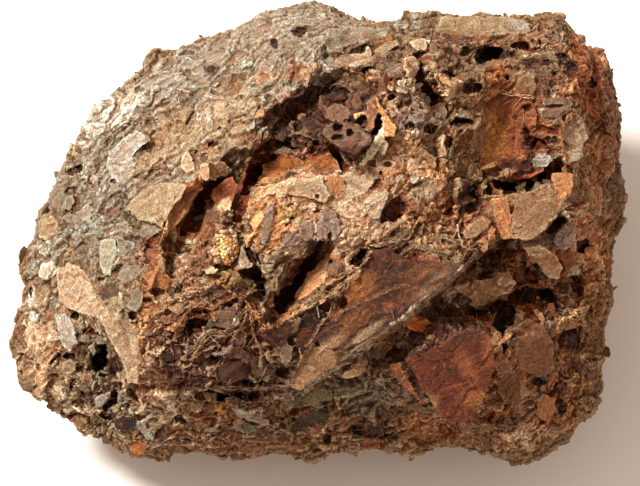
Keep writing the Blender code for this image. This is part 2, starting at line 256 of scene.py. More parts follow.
PALE_STONE = "#aaa192"  # bleached rock, paler
TAN = "#997858"  # clay, brown
DRAB = "#9c8768"  # clay
FAWN = "#b69270"  # clay, warm
PALE_TAN = "#b09a7c"  # clay, pale
ROSE_TAN = "#b48468"  # clay, pink
SAND = "#c6a47e"  # silica, stained
BUFF = "#d0b594"  # silica, lightly stained
CREAM = "#dccaa4"  # silica
CLAY_WHITE = "#cac2ac"  # chalky silica
DARK_OLIVE = "#483e2e"  # serpentine, dark
OLIVE = "#6a604a"  # serpentine
MOSS = "#757050"  # garnierite in clay
KHAKI = "#ac9c6c"  # garnierite, bleached
SAGE = "#9d9c84"  # garnierite in silica

# Hollows cut under the surface, as tubes: their walls' stain, and a path of places across and up, with the
# half width, depth of the middle and half height there.
# Walls stained black-brown are painted deep shade as well as manganese stain.
HOLLOWS = {
    "left run of the arch": (RED_OCHRE, [(-27.4, 1.8, 1.3, 1, 1.2), (-25.4, 4.6, 1.8, 1.2, 1.6),
        (-23.9, 7.8, 2, 2.1, 2.5), (-21.6, 10.6, 1.9, 1.9, 2.4), (-18.6, 12.8, 1.3, 1.6, 1.8)]),
    "right run of the arch": (RED_OCHRE, [(-16.6, 4.4, 1.1, 1.2, 1.6), (-15.6, 8, 1.6, 2.6, 3.6),
        (-14.8, 10.4, 1.7, 5, 7), (-13.8, 12.6, 1.7, 1, 6), (-12.6, 15, 1.4, 0.6, 3)]),
    "under the cream ledge": (HEMATITE, [(-11.6, 16.6, 0.9, 0.6, 1.2), (-8.6, 17.5, 0.8, 0.6, 1.2),
        (-5.8, 17.7, 0.5, 0.5, 0.9)]),
    "upper cave": (COCOA, [(-8.6, 21.8, 1.6, 0.9, 1.3), (-6.4, 24.6, 2.4, 1.4, 2),
        (-2.4, 27.6, 2.3, 1.6, 2.1), (1.8, 29.9, 1.8, 1.4, 1.9), (5.4, 29.4, 1.3, 1.3, 1.7)]),
    "cave beside the holed clast": (COCOA, [(8, 26.2, 0.9, 1.3, 1.4), (8.2, 23.6, 1.2, 1.6, 1.8),
        (9.6, 29.2, 1.1, 1.4, 1.6)]),
    "slot over the flat plates": (HEMATITE, [(-3.4, 19.2, 0.6, 0.9, 1.2), (-0.6, 20.2, 0.9, 1.1, 1.5),
        (2.2, 19.2, 1, 1.4, 1.9), (4.2, 16.8, 0.9, 1.4, 1.8), (4.7, 14.8, 0.6, 1.1, 1.4)]),
    "slot by the ochre band": (RED_OCHRE, [(19.9, 35.4, 1, 1.3, 1.8), (19.4, 32.2, 1.2, 1.6, 2.1),
        (21.4, 29.2, 1.4, 1.8, 2.4), (24.4, 26.6, 1.1, 1.4, 1.8)]),
    "deep pit": (MAROON, [(0.2, 0.2, 1.1, 1.4, 2), (-1.6, -2.6, 1.9, 2.2, 3.1), (-4.4, -6.4, 2.2, 2.4, 3.4),
        (-7, -10.2, 2, 2.1, 2.9), (-8.2, -13.6, 1.2, 1.4, 1.8)]),
    "gap under the red lip": (BLACK_BROWN, [(35.2, 12, 0.6, 1.2, 1.6), (37.6, 11.4, 1, 2, 2.8),
        (40.6, 11.4, 0.6, 1.6, 2.4), (44.6, 13.4, 0.5, 1.4, 2)]),
    "cell under the plateau": (BLACK_BROWN, [(32.4, 36.8, 1.3, 1.6, 2.1), (34.8, 38, 1.6, 1.8, 2.4),
        (36.4, 38.2, 0.8, 1.3, 1.6)]),
    "cell of the arch": (RED_OCHRE, [(39, 39.4, 0.9, 1, 1.3), (41.4, 39.2, 1.1, 1.3, 1.7),
        (44.6, 38.4, 0.6, 1, 1.3)]),
    "bowl's pit": (MAROON, [(40.9, 22.8, 0.8, 0.6, 1.1), (41.6, 20.4, 1, 1, 1.5),
        (44.2, 19.6, 1.2, 1, 1.5)]),
    "recess": (BLACK_BROWN, [(30.6, -14.2, 1.1, 1.4, 1.7), (35, -12.4, 2.2, 2.4, 3.1),
        (40.6, -10.4, 2, 2.2, 2.8), (45.2, -10.4, 1.4, 1.7, 2.1), (47.4, -13, 0.9, 1.2, 1.4)]),
    "recess, below": (BLACK_BROWN, [(37.2, -13, 2.2, 2.1, 2.4), (36.8, -17.4, 2.1, 1.8, 2.2),
        (36.4, -20.8, 1.2, 1.1, 1.4)]),
    "pit of the pale ridge": (BLACK_BROWN, [(-43.6, -20.4, 0.9, 1.4, 2), (-43, -22.2, 1.4, 2, 3.2),
        (-44.6, -24.6, 1.2, 1.8, 2.8)]),
    "left cell": (HEMATITE, [(-26.8, -16.4, 1.2, 0.9, 1.3), (-24.6, -15.6, 1.7, 1.1, 1.6),
        (-22.8, -16.2, 1.2, 0.9, 1.2)]),
    "low cave": (BLACK_BROWN, [(-20, -30.4, 1.4, 1.5, 2.3), (-16, -30.5, 1.7, 1.5, 2.4),
        (-12.8, -30.2, 1, 1.1, 1.6)]),
    "low cave, above": (COCOA, [(-15, -27.6, 0.8, 1.4, 2), (-11, -27.9, 0.6, 1, 1.6)]),
    "gap round the olive clast": (COCOA, [(45.4, 2.4, 0.5, 1.2, 1.8), (47.6, 4.6, 0.6, 1.4, 2),
        (50.6, 5, 0.4, 1, 1.4)]),
}

# Smooth dishes: middle, half length, half width, turn, depth, stain, flecks.
DISHES = {
    "lit wall of the arch": ((-8.6, 15.4), 5.2, 2.2, 16, 1.6, AMBER, RUST),
    "gold wall of the arch": ((0.2, 15.8), 4.4, 2.2, 2, 1.4, COPPER, AMBER),
    "wall between the runs": ((-19.2, 10.6), 3, 2, 60, 1.2, HEMATITE, MAROON),
    "floor of the left run": ((-22.4, 3.6), 3.6, 1.7, 62, 0.8, RUST, HEMATITE),
    "bowl": ((37.8, 22.6), 7.5, 7, 10, 2.4, RUST, TOBACCO),
    "tan wall of the bowl": ((40.4, 31.8), 4.6, 3.4, 0, 1, AMBER, RUST),
    "gold wall of the bowl": ((34.4, 21), 2.6, 5.6, -10, 0.6, GOLD, APRICOT),
    "red foot of the bowl": ((39, 15.6), 4, 1.2, -10, 0.8, MAROON, HEMATITE),
}

# Small pits and cracks, by area: (across, up), half length, half width, turn, depth.
PITS = {
    "arch and beads": [((-23.2, 17.4), 0.6, 0.4, 30, 0.5), ((-13.2, -2.4), 0.5, 2.3, 38, 2),
        ((-13.4, -6.2), 2.4, 0.8, -14, 2)],
    "skin": [((-21.3, 19.8), 0.9, 0.4, 10, 1), ((-41.4, 12.4), 0.6, 0.5, 0, 1.2),
        ((-49.4, 14.6), 1.5, 0.8, 20, 1.4), ((-9.3, 40.2), 0.5, 0.8, 20, 0.9),
        ((-22, 35), 1.1, 0.5, 20, 0.7), ((-19.8, 22.6), 0.7, 0.5, 0, 1)],
    "left end": [((-50, 10.6), 1.3, 0.8, 20, 1.4), ((-58, -9.6), 0.5, 0.9, 0, 1.2),
        ((-49, -14.6), 0.7, 0.6, 0, 0.9), ((-46.2, -17.6), 1.2, 0.7, 0, 1),
        ((-50.4, -22.7), 1.1, 0.5, 8, 1.4), ((-53.2, -23.2), 1.5, 0.3, 50, 0.9),
        ((-49.8, -28.5), 0.45, 1.2, 0, 1.6), ((-47.8, -29.1), 0.45, 1.6, 4, 1.6)],
    "top": [((-4, 42.6), 1.5, 0.8, 10, 1), ((23.4, 38.7), 0.45, 0.4, 0, 1)],
    "caves": [((3.6, 22.9), 0.8, 0.75, 0, 1.8), ((6, 21.7), 0.7, 0.6, 20, 1.4),
        ((3.4, 20.8), 1.1, 0.4, 5, 1.1), ((5, 24.1), 0.3, 0.35, 0, 0.8), ((11.4, 23.4), 0.5, 1.9, -8, 2.2),
        ((10.4, 15.8), 0.75, 0.7, 0, 1.2), ((13.4, 15.5), 0.8, 0.6, 0, 1.2), ((14.4, 28.4), 0.55, 0.5, 0, 1),
        ((17.8, 23.2), 0.9, 0.7, 20, 1), ((21.8, 22.5), 1.2, 0.6, 10, 1.3), ((9.4, 34.6), 2.1, 0.4, 12, 1.8),
        ((14.8, 32.4), 1.1, 0.3, 4, 1.4)],
    "bowl": [((26, 39), 0.5, 0.9, 10, 1.2), ((29.2, 38.7), 0.9, 0.6, 15, 1.4),
        ((26.4, 34.1), 1.9, 0.35, 4, 1.4), ((30.2, 30.8), 1.9, 1.2, 12, 1.6), ((43, 35.9), 2.8, 1, 2, 1.4),
        ((28, 23.9), 2.3, 0.75, 0, 1.8), ((25.4, 20.2), 0.9, 1.2, 0, 1.1), ((49.3, 36.4), 0.9, 2.4, 50, 1.4),
        ((54.4, 32.2), 0.8, 1.3, 20, 1.1), ((37.2, 33.1), 0.5, 0.5, 0, 1), ((41.2, 27), 0.8, 0.6, 0, 1.1),
        ((46.6, 27.2), 1.9, 0.35, 5, 0.9), ((38.9, 25.1), 0.5, 0.6, 0, 0.5), ((46, 20.6), 1.3, 0.6, 0, 0.8)],
    "island": [((15, 6.4), 2.9, 1.9, 35, 1.7), ((12.8, 5.2), 0.6, 1.4, -20, 1.4),
        ((2, 1.3), 0.4, 0.9, 0, 1.2), ((-0.6, 6.3), 1, 0.35, 12, 0.6), ((-5.6, 5), 0.9, 0.5, 0, 0.8),
        ((-6, 3.2), 1, 0.35, -15, 0.9), ((-5.9, 7.4), 0.8, 0.4, 20, 0.7), ((-0.5, 9.2), 0.3, 0.45, 20, 0.8),
        ((7.7, -2.9), 2.2, 1, 38, 2.2), ((12.1, 14), 0.5, 0.6, 0, 1)],
    "cells": [((-18.6, -12.6), 1.8, 0.45, 4, 1.6), ((-23.4, -13.8), 2.1, 0.8, -8, 1.6),
        ((-11.6, -9.6), 0.9, 1.6, 20, 1.6), ((-20, -22.9), 1.5, 0.3, 3, 1.2),
        ((-7.4, -25.5), 0.9, 1.2, 10, 1.2), ((15.4, -22.4), 2.2, 1.2, 20, 1.2)],
    "low left": [((-26, -16.8), 1.2, 2, -10, 1.6), ((-46, -32.2), 0.45, 0.9, 10, 1.2),
        ((-42, -31.8), 0.6, 2.3, -42, 1.5), ((-42.8, -34.9), 1.6, 0.6, -14, 1.2),
        ((-27.5, -35.6), 1.5, 0.7, -20, 1)],
    "left middle": [((-28.2, -9), 1, 0.7, -50, 1.6), ((-34.2, -2.2), 0.6, 1.6, 0, 1),
        ((-43.4, -7.2), 0.8, 0.25, 0, 1), ((-37.1, -14.6), 0.7, 0.5, 0, 1.3),
        ((-44, -18.3), 0.7, 0.35, 0, 0.9)],
    "bottom": [((1.4, -38.6), 0.8, 2, 0, 1.2), ((10.6, -37.8), 4.4, 1.3, -6, 1.6)],
    "right": [((50, -19.4), 2.3, 2.2, 0, 1.5), ((52.6, -0.4), 1.2, 1.3, 0, 1.2),
        ((33.4, -3.8), 1.8, 1.2, 30, 1.3), ((41, -4.4), 1.3, 1.4, 0, 1.3), ((29.6, 8.6), 2.2, 3, -20, 1),
        ((51.4, -8.2), 1.2, 1.8, 20, 1.2), ((22, -13), 3.4, 1, 40, 1.2)],
    "low right": [((48.6, -32.8), 0.9, 1.8, 0, 1.2), ((44, -27.8), 1.6, 0.7, -8, 1)],
}

# Vein walls and pale edges that stand up: half width, height, stain, and path.
RIDGES = {
    "rim of the arch's septum": (0.35, 1, CARAMEL, [(-12.4, 17.5), (-14.4, 16), (-15.3, 13.8)]),
    "wall by the beads": (0.5, 1.3, PALE_TAN, [(-13.2, -1.8), (-12, -5), (-10.4, -7), (-10.3, -9.6),
        (-11.4, -12), (-10.6, -15), (-10, -16.6)]),
    "lip of the deep pit": (0.5, 1.3, APRICOT, [(-20, -8), (-17, -10.2), (-14.8, -11.2), (-13, -14),
        (-11.5, -16), (-10, -16.9), (-8.6, -16), (-6, -14), (-3.8, -12.2)]),
    "pale vein": (0.4, 1.1, SAND, [(-5.6, -14.6), (-3.4, -13), (0, -11.8), (2.4, -10), (4.6, -7.8),
        (8, -5.4)]),
    "second pale vein": (0.35, 0.9, FAWN, [(-3, -11.4), (0, -9.8), (3, -7.2), (6.6, -5.4)]),
    "rim of the oval hole": (0.4, 1.1, SAND, [(5.4, -4.4), (6.6, -5), (8.6, -4), (9.8, -2.2), (9.4, -1.1),
        (7.8, -1.2), (6, -2.4), (5.2, -3.8)]),
    "cell wall": (0.4, 1.5, BUFF, [(-26.5, -21.8), (-24.6, -20.4), (-23, -18.2), (-21.4, -17.4),
        (-18.8, -17.8), (-17.4, -16.8), (-15.8, -14.2), (-14.6, -13)]),
    "second cell wall": (0.3, 1.3, BUFF, [(-14.4, -14), (-15.6, -17.2), (-18.6, -18.6), (-21.4, -18.4),
        (-23.8, -20.8), (-25.6, -23.4)]),
    "rib of the cells": (0.35, 1.2, FAWN, [(-13.6, -14.4), (-13.2, -18), (-11.6, -21.4), (-11.8, -24.6)]),
    "rim of the left cell": (0.45, 1.3, COPPER, [(-28.6, -18.8), (-27.8, -15.2), (-25.4, -13.4),
        (-22.6, -13.2), (-20.8, -15)]),
    "ledge over the low cave": (0.4, 1.2, PALE_TAN, [(-20.4, -28.5), (-16.4, -28.7), (-12.6, -28.8),
        (-8.4, -28.4), (-5.4, -29.4)]),
    "orange cell wall": (0.45, 1.1, COPPER, [(-28.6, -17), (-26.4, -14), (-23.6, -12.4), (-21.4, -13.2),
        (-19.6, -11.8), (-16.5, -10.6), (-14.8, -11.2)]),
    "slab's pale side": (0.5, 1.2, FAWN, [(2.6, -12.2), (1.6, -14.6), (0, -16.4), (-1.2, -19), (-3.4, -22.4),
        (-5.2, -26), (-6.6, -28.6)]),
    "edge of the panel": (0.45, 1.3, PALE_TAN, [(31.4, -1.4), (28, -5.2), (24, -8.8), (20, -11.6),
        (16, -15.1), (12, -17.7), (8.6, -19.8), (4.6, -23), (0.6, -26.8), (-3.2, -29.8)]),
    "step in the panel": (0.4, 0.6, CARAMEL, [(3.2, -15.2), (5, -13), (8.4, -11.4), (12.2, -9.8),
        (15.4, -8.4)]),
    "lower bow": (0.45, 0.9, COPPER, [(-28, -32), (-26.6, -34.4), (-24.4, -35.1), (-21.8, -34.4),
        (-20.4, -32.2)]),
    "green pocket's wall": (0.3, 1.1, KHAKI, [(-6.2, -33.6), (-5.8, -36), (-6.3, -38.8)]),
    "green pocket's rib": (0.3, 0.9, KHAKI, [(1.8, -32.4), (2.6, -34), (3.2, -35.2)]),
    "line in the caves": (0.3, 0.9, MUSHROOM, [(-17, -28.7), (-13.4, -29), (-10.2, -28.5)]),
    "rust slab's lip": (0.35, 0.7, COPPER, [(15.6, -23.8), (17.6, -27.2), (19.6, -30.4), (22.4, -32.6)]),
    "orange thread": (0.3, 0.8, RUST, [(26, -12.8), (23.8, -15), (22.2, -17.4)]),
    "boulder's pale foot": (0.35, 0.8, SAND, [(31, -13.2), (35.4, -11.1), (38.8, -9.1)]),
    "ring at the right": (0.4, 1, DRAB, [(46.8, -14.4), (49.6, -13.6), (52.2, -14.8), (54, -18), (53.4, -21),
        (51.6, -23)]),
    "ridge by the slot": (0.35, 0.8, SAND, [(16, 30.8), (17.8, 30.2), (19.6, 28.2), (22.2, 26.2),
        (24.4, 25)]),
    "fold of the plateau": (0.4, 0.9, FAWN, [(39.2, 38), (41.6, 37.7), (44, 38.4), (46, 40.2), (44.2, 41.9),
        (41.4, 41.6)]),
    "shelf of the bowl": (0.35, 0.8, FAWN, [(36, 30), (38.4, 29.4), (42.8, 28.8)]),
    "orange fin": (0.4, 1.4, COPPER, [(50.5, 25.8), (48.6, 23.8), (47.8, 22.2), (48.1, 20), (48.5, 17.2)]),
    "orange seams": (0.45, 1, ORANGE, [(52.2, 30.6), (53.4, 28.4), (54.8, 26.2), (56.6, 24.4)]),
    "right arch": (0.4, 0.9, PALE_TAN, [(46.2, 4.4), (48.6, 6), (51, 5.8), (53.5, 6.9), (55.4, 5.4),
        (54.7, 3.4)]),
    "cream twig": (0.4, 1.1, CREAM, [(27.3, 3.8), (27.5, 1.6), (28.3, 0.2)]),
    "long twig": (0.35, 0.8, DRAB, [(19.6, 4.4), (22.6, 1.8), (27.2, 0), (29.8, -1.2)]),
    "lip of the ledge": (0.4, 0.9, FAWN, [(10, 0.4), (13.2, 1.6), (15.6, 3.6), (18.6, 5.2)]),
    "skin's flake": (0.35, 0.5, BUFF, [(-29.2, 31), (-27.4, 30.7), (-25.8, 30.2)]),
    "skin's upper flake": (0.3, 0.5, CLAY_WHITE, [(-22.4, 30.8), (-21, 31.8), (-20.2, 32.6)]),
    "dark seam's lip": (0.5, 0.9, DRAB, [(-43.6, 20), (-41.6, 22.4), (-39, 24.2), (-35.6, 24.8),
        (-32.8, 25)]),
    "mouth's crust": (0.6, 0.9, DRAB, [(14.2, 0.8), (17.6, 0.4), (21, -1.2), (24.6, -2.2), (27.6, -2.8)]),
}

# Flat fragments: how far the top stands up, its lean across and up, thickness, stain, outline.
SLABS = {
    "pale clast": (0.7, 0.02, -0.03, 2.2, PALE_STONE, [(-42.9, 15.4), (-42.6, 18), (-41.2, 19.3),
        (-38.6, 21.6), (-36.8, 22.5), (-34, 21.9), (-33.4, 20.6), (-36, 19), (-37.6, 17.2), (-37.2, 15.6),
        (-38.5, 13.2), (-40, 12), (-41.8, 13)]),
    "orange flake": (0.8, 0.05, -0.02, 2.6, DRAB, [(-38.8, 6.4), (-38.2, 8.4), (-36, 10.2), (-32, 12.2),
        (-27.2, 11.9), (-26.2, 11.2), (-27.4, 9), (-29.6, 6.4), (-31.6, 3), (-33, 4), (-35.6, 4.4)]),
    "hanging clast, lit side": (1.6, 0.5, -0.2, 2.4, FAWN, [(-24.3, 14), (-23.8, 15.9), (-21.8, 16.3),
        (-21.7, 13.2), (-22.4, 12.3), (-23.5, 12.7)]),
    "hanging clast, dark side": (2.4, -0.15, -0.1, 2, SAND, [(-21.8, 16.3), (-18.8, 16), (-17.4, 14.2),
        (-19.4, 13.2), (-22, 12.4)]),
    "pinkish flake": (0.5, 0.1, 0, 1.4, PALE_TAN, [(-28, 15), (-27.5, 17.6), (-26.3, 18.8), (-25.4, 17.2),
        (-25, 14.8), (-26.8, 14.3)]),
    "cream patch": (0.4, 0.05, -0.05, 1.2, PALE_TAN, [(-21.4, 27.4), (-19.2, 28.3), (-18, 26.6), (-18.9, 25),
        (-21, 25.1)]),
    "white clast": (0.6, 0.1, -0.05, 1.4, STONE, [(-47.6, 4.4), (-47.7, 7), (-46.2, 8.3), (-45.5, 6.8),
        (-46.3, 4.8)]),
    "chip by the arch": (0.6, 0.05, 0, 1.6, TAUPE, [(-36.2, 2.2), (-35, 3.7), (-32.8, 3.5), (-31.8, 2.3),
        (-33.6, 1), (-35.4, 1.1)]),
    "white-green clast": (0.7, 0.06, 0, 1.8, SAGE, [(-43.9, -4.2), (-44, -1.6), (-43.4, 0.6), (-40.8, 0.9),
        (-40.3, -1.6), (-41.3, -4.2), (-41.6, -6.4), (-42.8, -6.5)]),
    "striped plate": (0.7, 0.12, -0.1, 1.6, TAUPE, [(-40.6, -7), (-39.4, -5.2), (-37.6, -4.2), (-35.8, -4.2),
        (-35.3, -5.4), (-36.6, -7), (-38.5, -7.9)]),
    "olive plate": (0.6, 0.05, 0.1, 1.6, DARK_OLIVE, [(-44, -10.3), (-43.5, -8.6), (-41.5, -7.9),
        (-39.8, -8.7), (-40, -10.5), (-42.2, -10.9)]),
    "mosaic plate": (0.6, -0.05, 0.05, 1.6, TAUPE, [(-38.2, -12.8), (-37.7, -9.7), (-36, -8.5),
        (-34.7, -9.4), (-35.1, -12), (-36, -13.9)]),
    "cream ridge, high": (0.9, 0.12, -0.1, 2, CLAY_WHITE, [(-57, -6.2), (-56, -4.1), (-53.6, -3.6),
        (-52.7, -5.8), (-55, -7.6)]),
    "cream ridge": (1, 0.08, -0.05, 2.6, PALE_TAN, [(-52.8, -7.6), (-52.6, -5), (-50.5, -4.1), (-48, -4.6),
        (-46.2, -7.2), (-44.8, -9.8), (-42.8, -12.2), (-41.6, -13.9), (-44, -15), (-47, -14.2), (-50, -13.4),
        (-52.4, -12)]),
    "cream ridge, low": (1, 0.2, 0, 2.4, PALE_STONE, [(-53.4, -14.4), (-51, -13.8), (-49.3, -17),
        (-48.4, -20.2), (-50.2, -22), (-51.7, -20.6), (-52.5, -17.6)]),
    "tan clast of the pit": (0.8, 0, 0.1, 2, DRAB, [(-51.7, -24), (-50.2, -23.2), (-48.8, -24), (-49.1, -26),
        (-50.8, -27), (-52.2, -26)]),
    "pale facet of the pit": (0.9, 0.2, 0.2, 1.8, STONE, [(-46.7, -21), (-45.2, -19.9), (-44.6, -21.8),
        (-45.2, -23)]),
    "olive facet of the pit": (0.7, -0.3, 0.1, 1.8, DRAB, [(-47.6, -23.4), (-46.4, -22), (-45.6, -23.8),
        (-46.6, -25.4)]),
    "roof of the pit": (1, 0.1, -0.1, 1.4, TAUPE, [(-45.2, -19.2), (-42.9, -19), (-42.4, -20.4),
        (-44.5, -20.4)]),
    "pale-olive plate": (0.8, 0.15, -0.2, 1.6, OLIVE_GREY, [(-45.6, -31.4), (-44, -30.2), (-42, -29.8),
        (-41.8, -31.2), (-43.6, -33), (-45, -33.4)]),
    "pale-olive chip": (0.7, 0.1, -0.1, 1.4, OLIVE, [(-40.6, -29.2), (-39.2, -29.8), (-39.5, -31.3),
        (-40.7, -31.6)]),
    "blue-grey strip": (0.7, 0, 0, 1.6, OLIVE_GREY, [(-37, -36.2), (-35.4, -35.6), (-33.4, -38.5),
        (-33.2, -39.8), (-34.6, -39.4), (-36.4, -37.6)]),
    "brown clast, low left": (0.8, 0, 0.2, 1.8, BLACK_BROWN, [(-41.4, -35.8), (-39.6, -34.6), (-37.2, -35),
        (-36.8, -36.6), (-38.6, -37.6), (-41, -37.2)]),
    "tan ridge": (0.9, 0.12, 0.05, 2.4, PALE_TAN, [(-43.8, -14.6), (-41, -13.7), (-38, -15.8), (-36, -17.8),
        (-35.8, -22), (-36.2, -28), (-38.4, -28.6), (-39.5, -24.4), (-41.3, -20.4), (-42.6, -17.6)]),
    "grey plate of the cells": (1, 0.05, 0.1, 1.4, BROWN, [(-21.2, -13.4), (-16.6, -13.2), (-16.2, -15.8),
        (-18.4, -17.2), (-20.8, -16.4)]),
    "olive bar": (0.7, 0.1, 0, 1.4, DARK_OLIVE, [(-22.8, -16.6), (-21.2, -14.2), (-20.3, -15.4),
        (-21.4, -17.2)]),
    "long olive clast": (1, 0.1, 0.1, 2.2, BLACK_BROWN, [(-4.7, -19.2), (-4.2, -16.4), (-2.6, -13.8),
        (-0.8, -12.5), (0.9, -13.2), (1.3, -15), (0, -16.6), (-1.5, -19.2), (-3.1, -21.6), (-4.4, -22)]),
    "thin olive clast": (0.9, 0.2, 0, 1.4, BROWN, [(-5.9, -17.2), (-4.2, -14.4), (-3.4, -14.9),
        (-4.3, -17.4), (-5.2, -18.5)]),
    "purple-brown plate": (0.9, 0, 0, 1.6, COCOA, [(-11, -15.4), (-8.6, -16.2), (-6.4, -14.8), (-5.4, -17.2),
        (-6.6, -19.8), (-9.4, -20.6), (-10.9, -18.8)]),
    "pale grey clast": (1.2, 0.05, -0.05, 1.8, MUSHROOM, [(-8.1, -20.6), (-6.4, -19.9), (-5.1, -20.6),
        (-5.4, -23), (-6.4, -24.6), (-7.8, -24)]),
    "flat olive clast": (1.2, 0, 0.1, 2.2, UMBER, [(-20.2, -24.6), (-17.6, -23.5), (-14, -23.7),
        (-13.8, -25.4), (-15.6, -27.2), (-17.8, -28.2), (-19.8, -27.2)]),
    "tan clast of the caves": (1.2, 0.1, 0.1, 1.8, BROWN, [(-14, -24), (-13.4, -22.4), (-11, -23),
        (-10.5, -24.8), (-11.4, -26.5), (-13.4, -26.2)]),
    "olive-tan clast": (1, 0, 0.1, 1.6, UMBER, [(-18.6, -22.2), (-17, -20.6), (-15.3, -20.4), (-14, -22),
        (-14.6, -23.2), (-18, -22.9)]),
    "pale olive flake": (1.4, 0.1, -0.2, 1, MUSHROOM, [(-21.6, -21.9), (-19.4, -21.2), (-17.4, -19.9),
        (-16.8, -20.6), (-18.4, -22), (-20.8, -22.7)]),
    "faceted olive clast": (1.1, 0.1, -0.1, 1.6, SAND, [(-24, -29.4), (-20.5, -30), (-20.7, -32.2),
        (-22.4, -31.6)]),
    "grey-green strip": (1.1, 0.1, -0.1, 1.6, STONE, [(-17.8, -33.2), (-15.4, -33.5), (-12.6, -34.3),
        (-10.2, -35.2), (-9, -36.6), (-11.4, -36.9), (-13.6, -35.7), (-16.4, -34.8)]),
    "olive-green plate": (1, 0, -0.1, 1.6, OLIVE, [(-17.5, -36), (-15.4, -35.7), (-12.8, -36.8),
        (-12.4, -37.9), (-15, -38.3), (-17.2, -37.2)]),
    "green crust": (1, 0, -0.1, 1.6, MOSS, [(-7.6, -32), (-3, -30.6), (0, -29.2), (2, -29.6), (2.4, -31.6),
        (-0.6, -32.2), (-3, -32.9), (-5.6, -33.4)]),
    "pale green chip": (0.8, 0.1, -0.2, 1.2, OLIVE, [(-1.8, -32.6), (0.4, -32.2), (1.4, -32.6), (0.6, -33.3),
        (-1, -33.3)]),
    "dark olive plate": (0.8, 0, 0.1, 1.6, DARK_OLIVE, [(-4.4, -34.4), (-1, -33.6), (2, -33.2), (2.2, -34.6),
        (0, -36), (-3, -37.2), (-5, -37.6), (-5.2, -35.8)]),
    "tan chip under the panel": (1.4, 0.1, -0.2, 1.2, SAND, [(4.3, -26.8), (5.2, -25.2), (7.4, -24.3),
        (9.3, -24.6), (8.4, -25.9), (6.6, -26.8), (5.4, -27.1)]),
    "panel, high": (0.6, 0, 0.02, 2.2, COCOA, [(9.4, -1.4), (13, -0.8), (17, -3), (21, -4), (28.6, -4.3),
        (26, -7), (22.6, -9.7), (18, -8.4), (15, -8), (12.2, -9.4), (8.4, -11), (5.4, -12.6), (4.6, -9.6),
        (7, -6.6)]),
    "panel, low": (0.5, 0, 0.02, 2.2, COCOA, [(5.2, -12.9), (8.4, -11.4), (12.2, -9.8), (15, -8.5),
        (18.2, -8.8), (22, -10), (16.2, -14.8), (12, -17.4), (8.4, -19.4), (4.6, -21.4), (0.2, -20.8),
        (-0.8, -18.6), (0.6, -16.2), (2.4, -15)]),
    "panel's foot": (0.5, 0, 0, 2, TAN, [(-1.2, -19.6), (0.2, -21.2), (4.6, -21.8), (5.2, -22.4),
        (2.6, -24.8), (-0.2, -27), (-4, -29.6), (-6.2, -28.4), (-4.8, -25.4), (-2.8, -22.2)]),
    "panel's tan stripe": (0.8, 0.05, 0, 1, UMBER, [(15.6, -13.9), (17, -9.4), (19.6, -8.6), (23.6, -8.6),
        (19.6, -11.6)]),
    "rust slab": (1, 0.1, 0, 2.6, HEMATITE, [(17, -22.6), (20, -22), (24, -20), (27, -17.6), (30, -16.6),
        (33.4, -18.2), (34.6, -21), (34.8, -24), (34, -27), (33.4, -29.6), (32, -32.6), (30.4, -35.6),
        (25.4, -35.8), (22.8, -32.6), (20.2, -29.4), (18.4, -26)]),
    "rust slab's twin": (0.9, 0.2, 0.1, 2, RUST, [(13.6, -24.2), (14.4, -23.2), (15.8, -24), (17.8, -27.4),
        (19.8, -30.6), (21.8, -32.6), (20.2, -32.2), (17.4, -29.2), (15, -26.6)]),
    "grey-green bit": (0.6, 0.1, -0.1, 1.4, BROWN, [(17.6, -32.6), (19.6, -31.9), (21.4, -33.2), (20, -34),
        (18.2, -33.8)]),
    "orange crust": (1, 0.1, -0.1, 1.2, ORANGE, [(16.8, -15.6), (18.4, -14.9), (20.6, -14.5), (21.7, -15.5),
        (20.8, -17), (19.4, -17.7), (17.6, -17.2)]),
    "brown-gold clast": (0.9, -0.1, 0.1, 2.2, TOBACCO, [(35, -27), (37, -26), (39.5, -25.8), (40.4, -27.6),
        (40.6, -30.8), (38.6, -31.9), (36.6, -31.6), (35.4, -29.8)]),
    "its right face": (0.8, -0.6, 0.2, 1.8, TAN, [(40.2, -27.4), (41.4, -28.8), (42.2, -30.2), (40.6, -31.2),
        (40.2, -30.4)]),
    "smooth olive clast": (0.8, 0.1, 0.1, 1.8, CARAMEL, [(34.8, -24.2), (36, -23), (38.5, -23.5),
        (38.1, -25.8), (35.1, -26.2)]),
    "boulder": (1.9, 0.12, -0.12, 3, FAWN, [(27.4, -9.4), (31, -7.4), (34.4, -6.6), (35.4, -5.4),
        (37.6, -5.6), (39.4, -8), (38.6, -9.1), (36, -10.6), (33, -12.2), (31, -13.2), (29.6, -12.6),
        (30.6, -11.4), (28.6, -10.6)]),
    "boulder's smooth end": (2.5, 0.15, -0.12, 1.6, TAN, [(34.6, -6.8), (35.5, -5.6), (37.6, -5.8),
        (39.2, -8), (37, -9.2), (35.2, -8.6)]),
    "crust of the recess": (0.6, 0, 0, 2, CARAMEL, [(39.2, -16.6), (41.6, -14.8), (44.6, -16.6), (46.8, -20),
        (47.2, -25.4), (44, -27.2), (40.6, -25.4), (39.2, -22)]),
    "pale horn": (1.2, 0.2, 0, 1.4, CARAMEL, [(42.2, -13.2), (43.4, -13), (45, -15.2), (44.6, -16.4),
        (43.2, -14.8)]),
    "olive cap of the ring": (0.8, 0.1, -0.1, 1.6, CARAMEL, [(48.4, -16.2), (49.6, -15.2), (51.2, -15.6),
        (51.4, -17.2), (49.4, -17.8)]),
    "orange plate, low right": (0.6, 0, 0, 1.6, COPPER, [(43.6, -32.4), (45, -30.4), (47.2, -30.8),
        (47.6, -33.6), (45.8, -36.4), (43.8, -35)]),
    "white-grey bit": (0.8, 0.1, -0.1, 1, MUSHROOM, [(42, -31.4), (43.2, -30.4), (45, -30.9), (44, -31.9)]),
    "tan face of the right": (1.2, 0.2, -0.1, 1.8, SAND, [(40.6, -1.2), (44, -0.8), (47, -2.4), (48.8, -5),
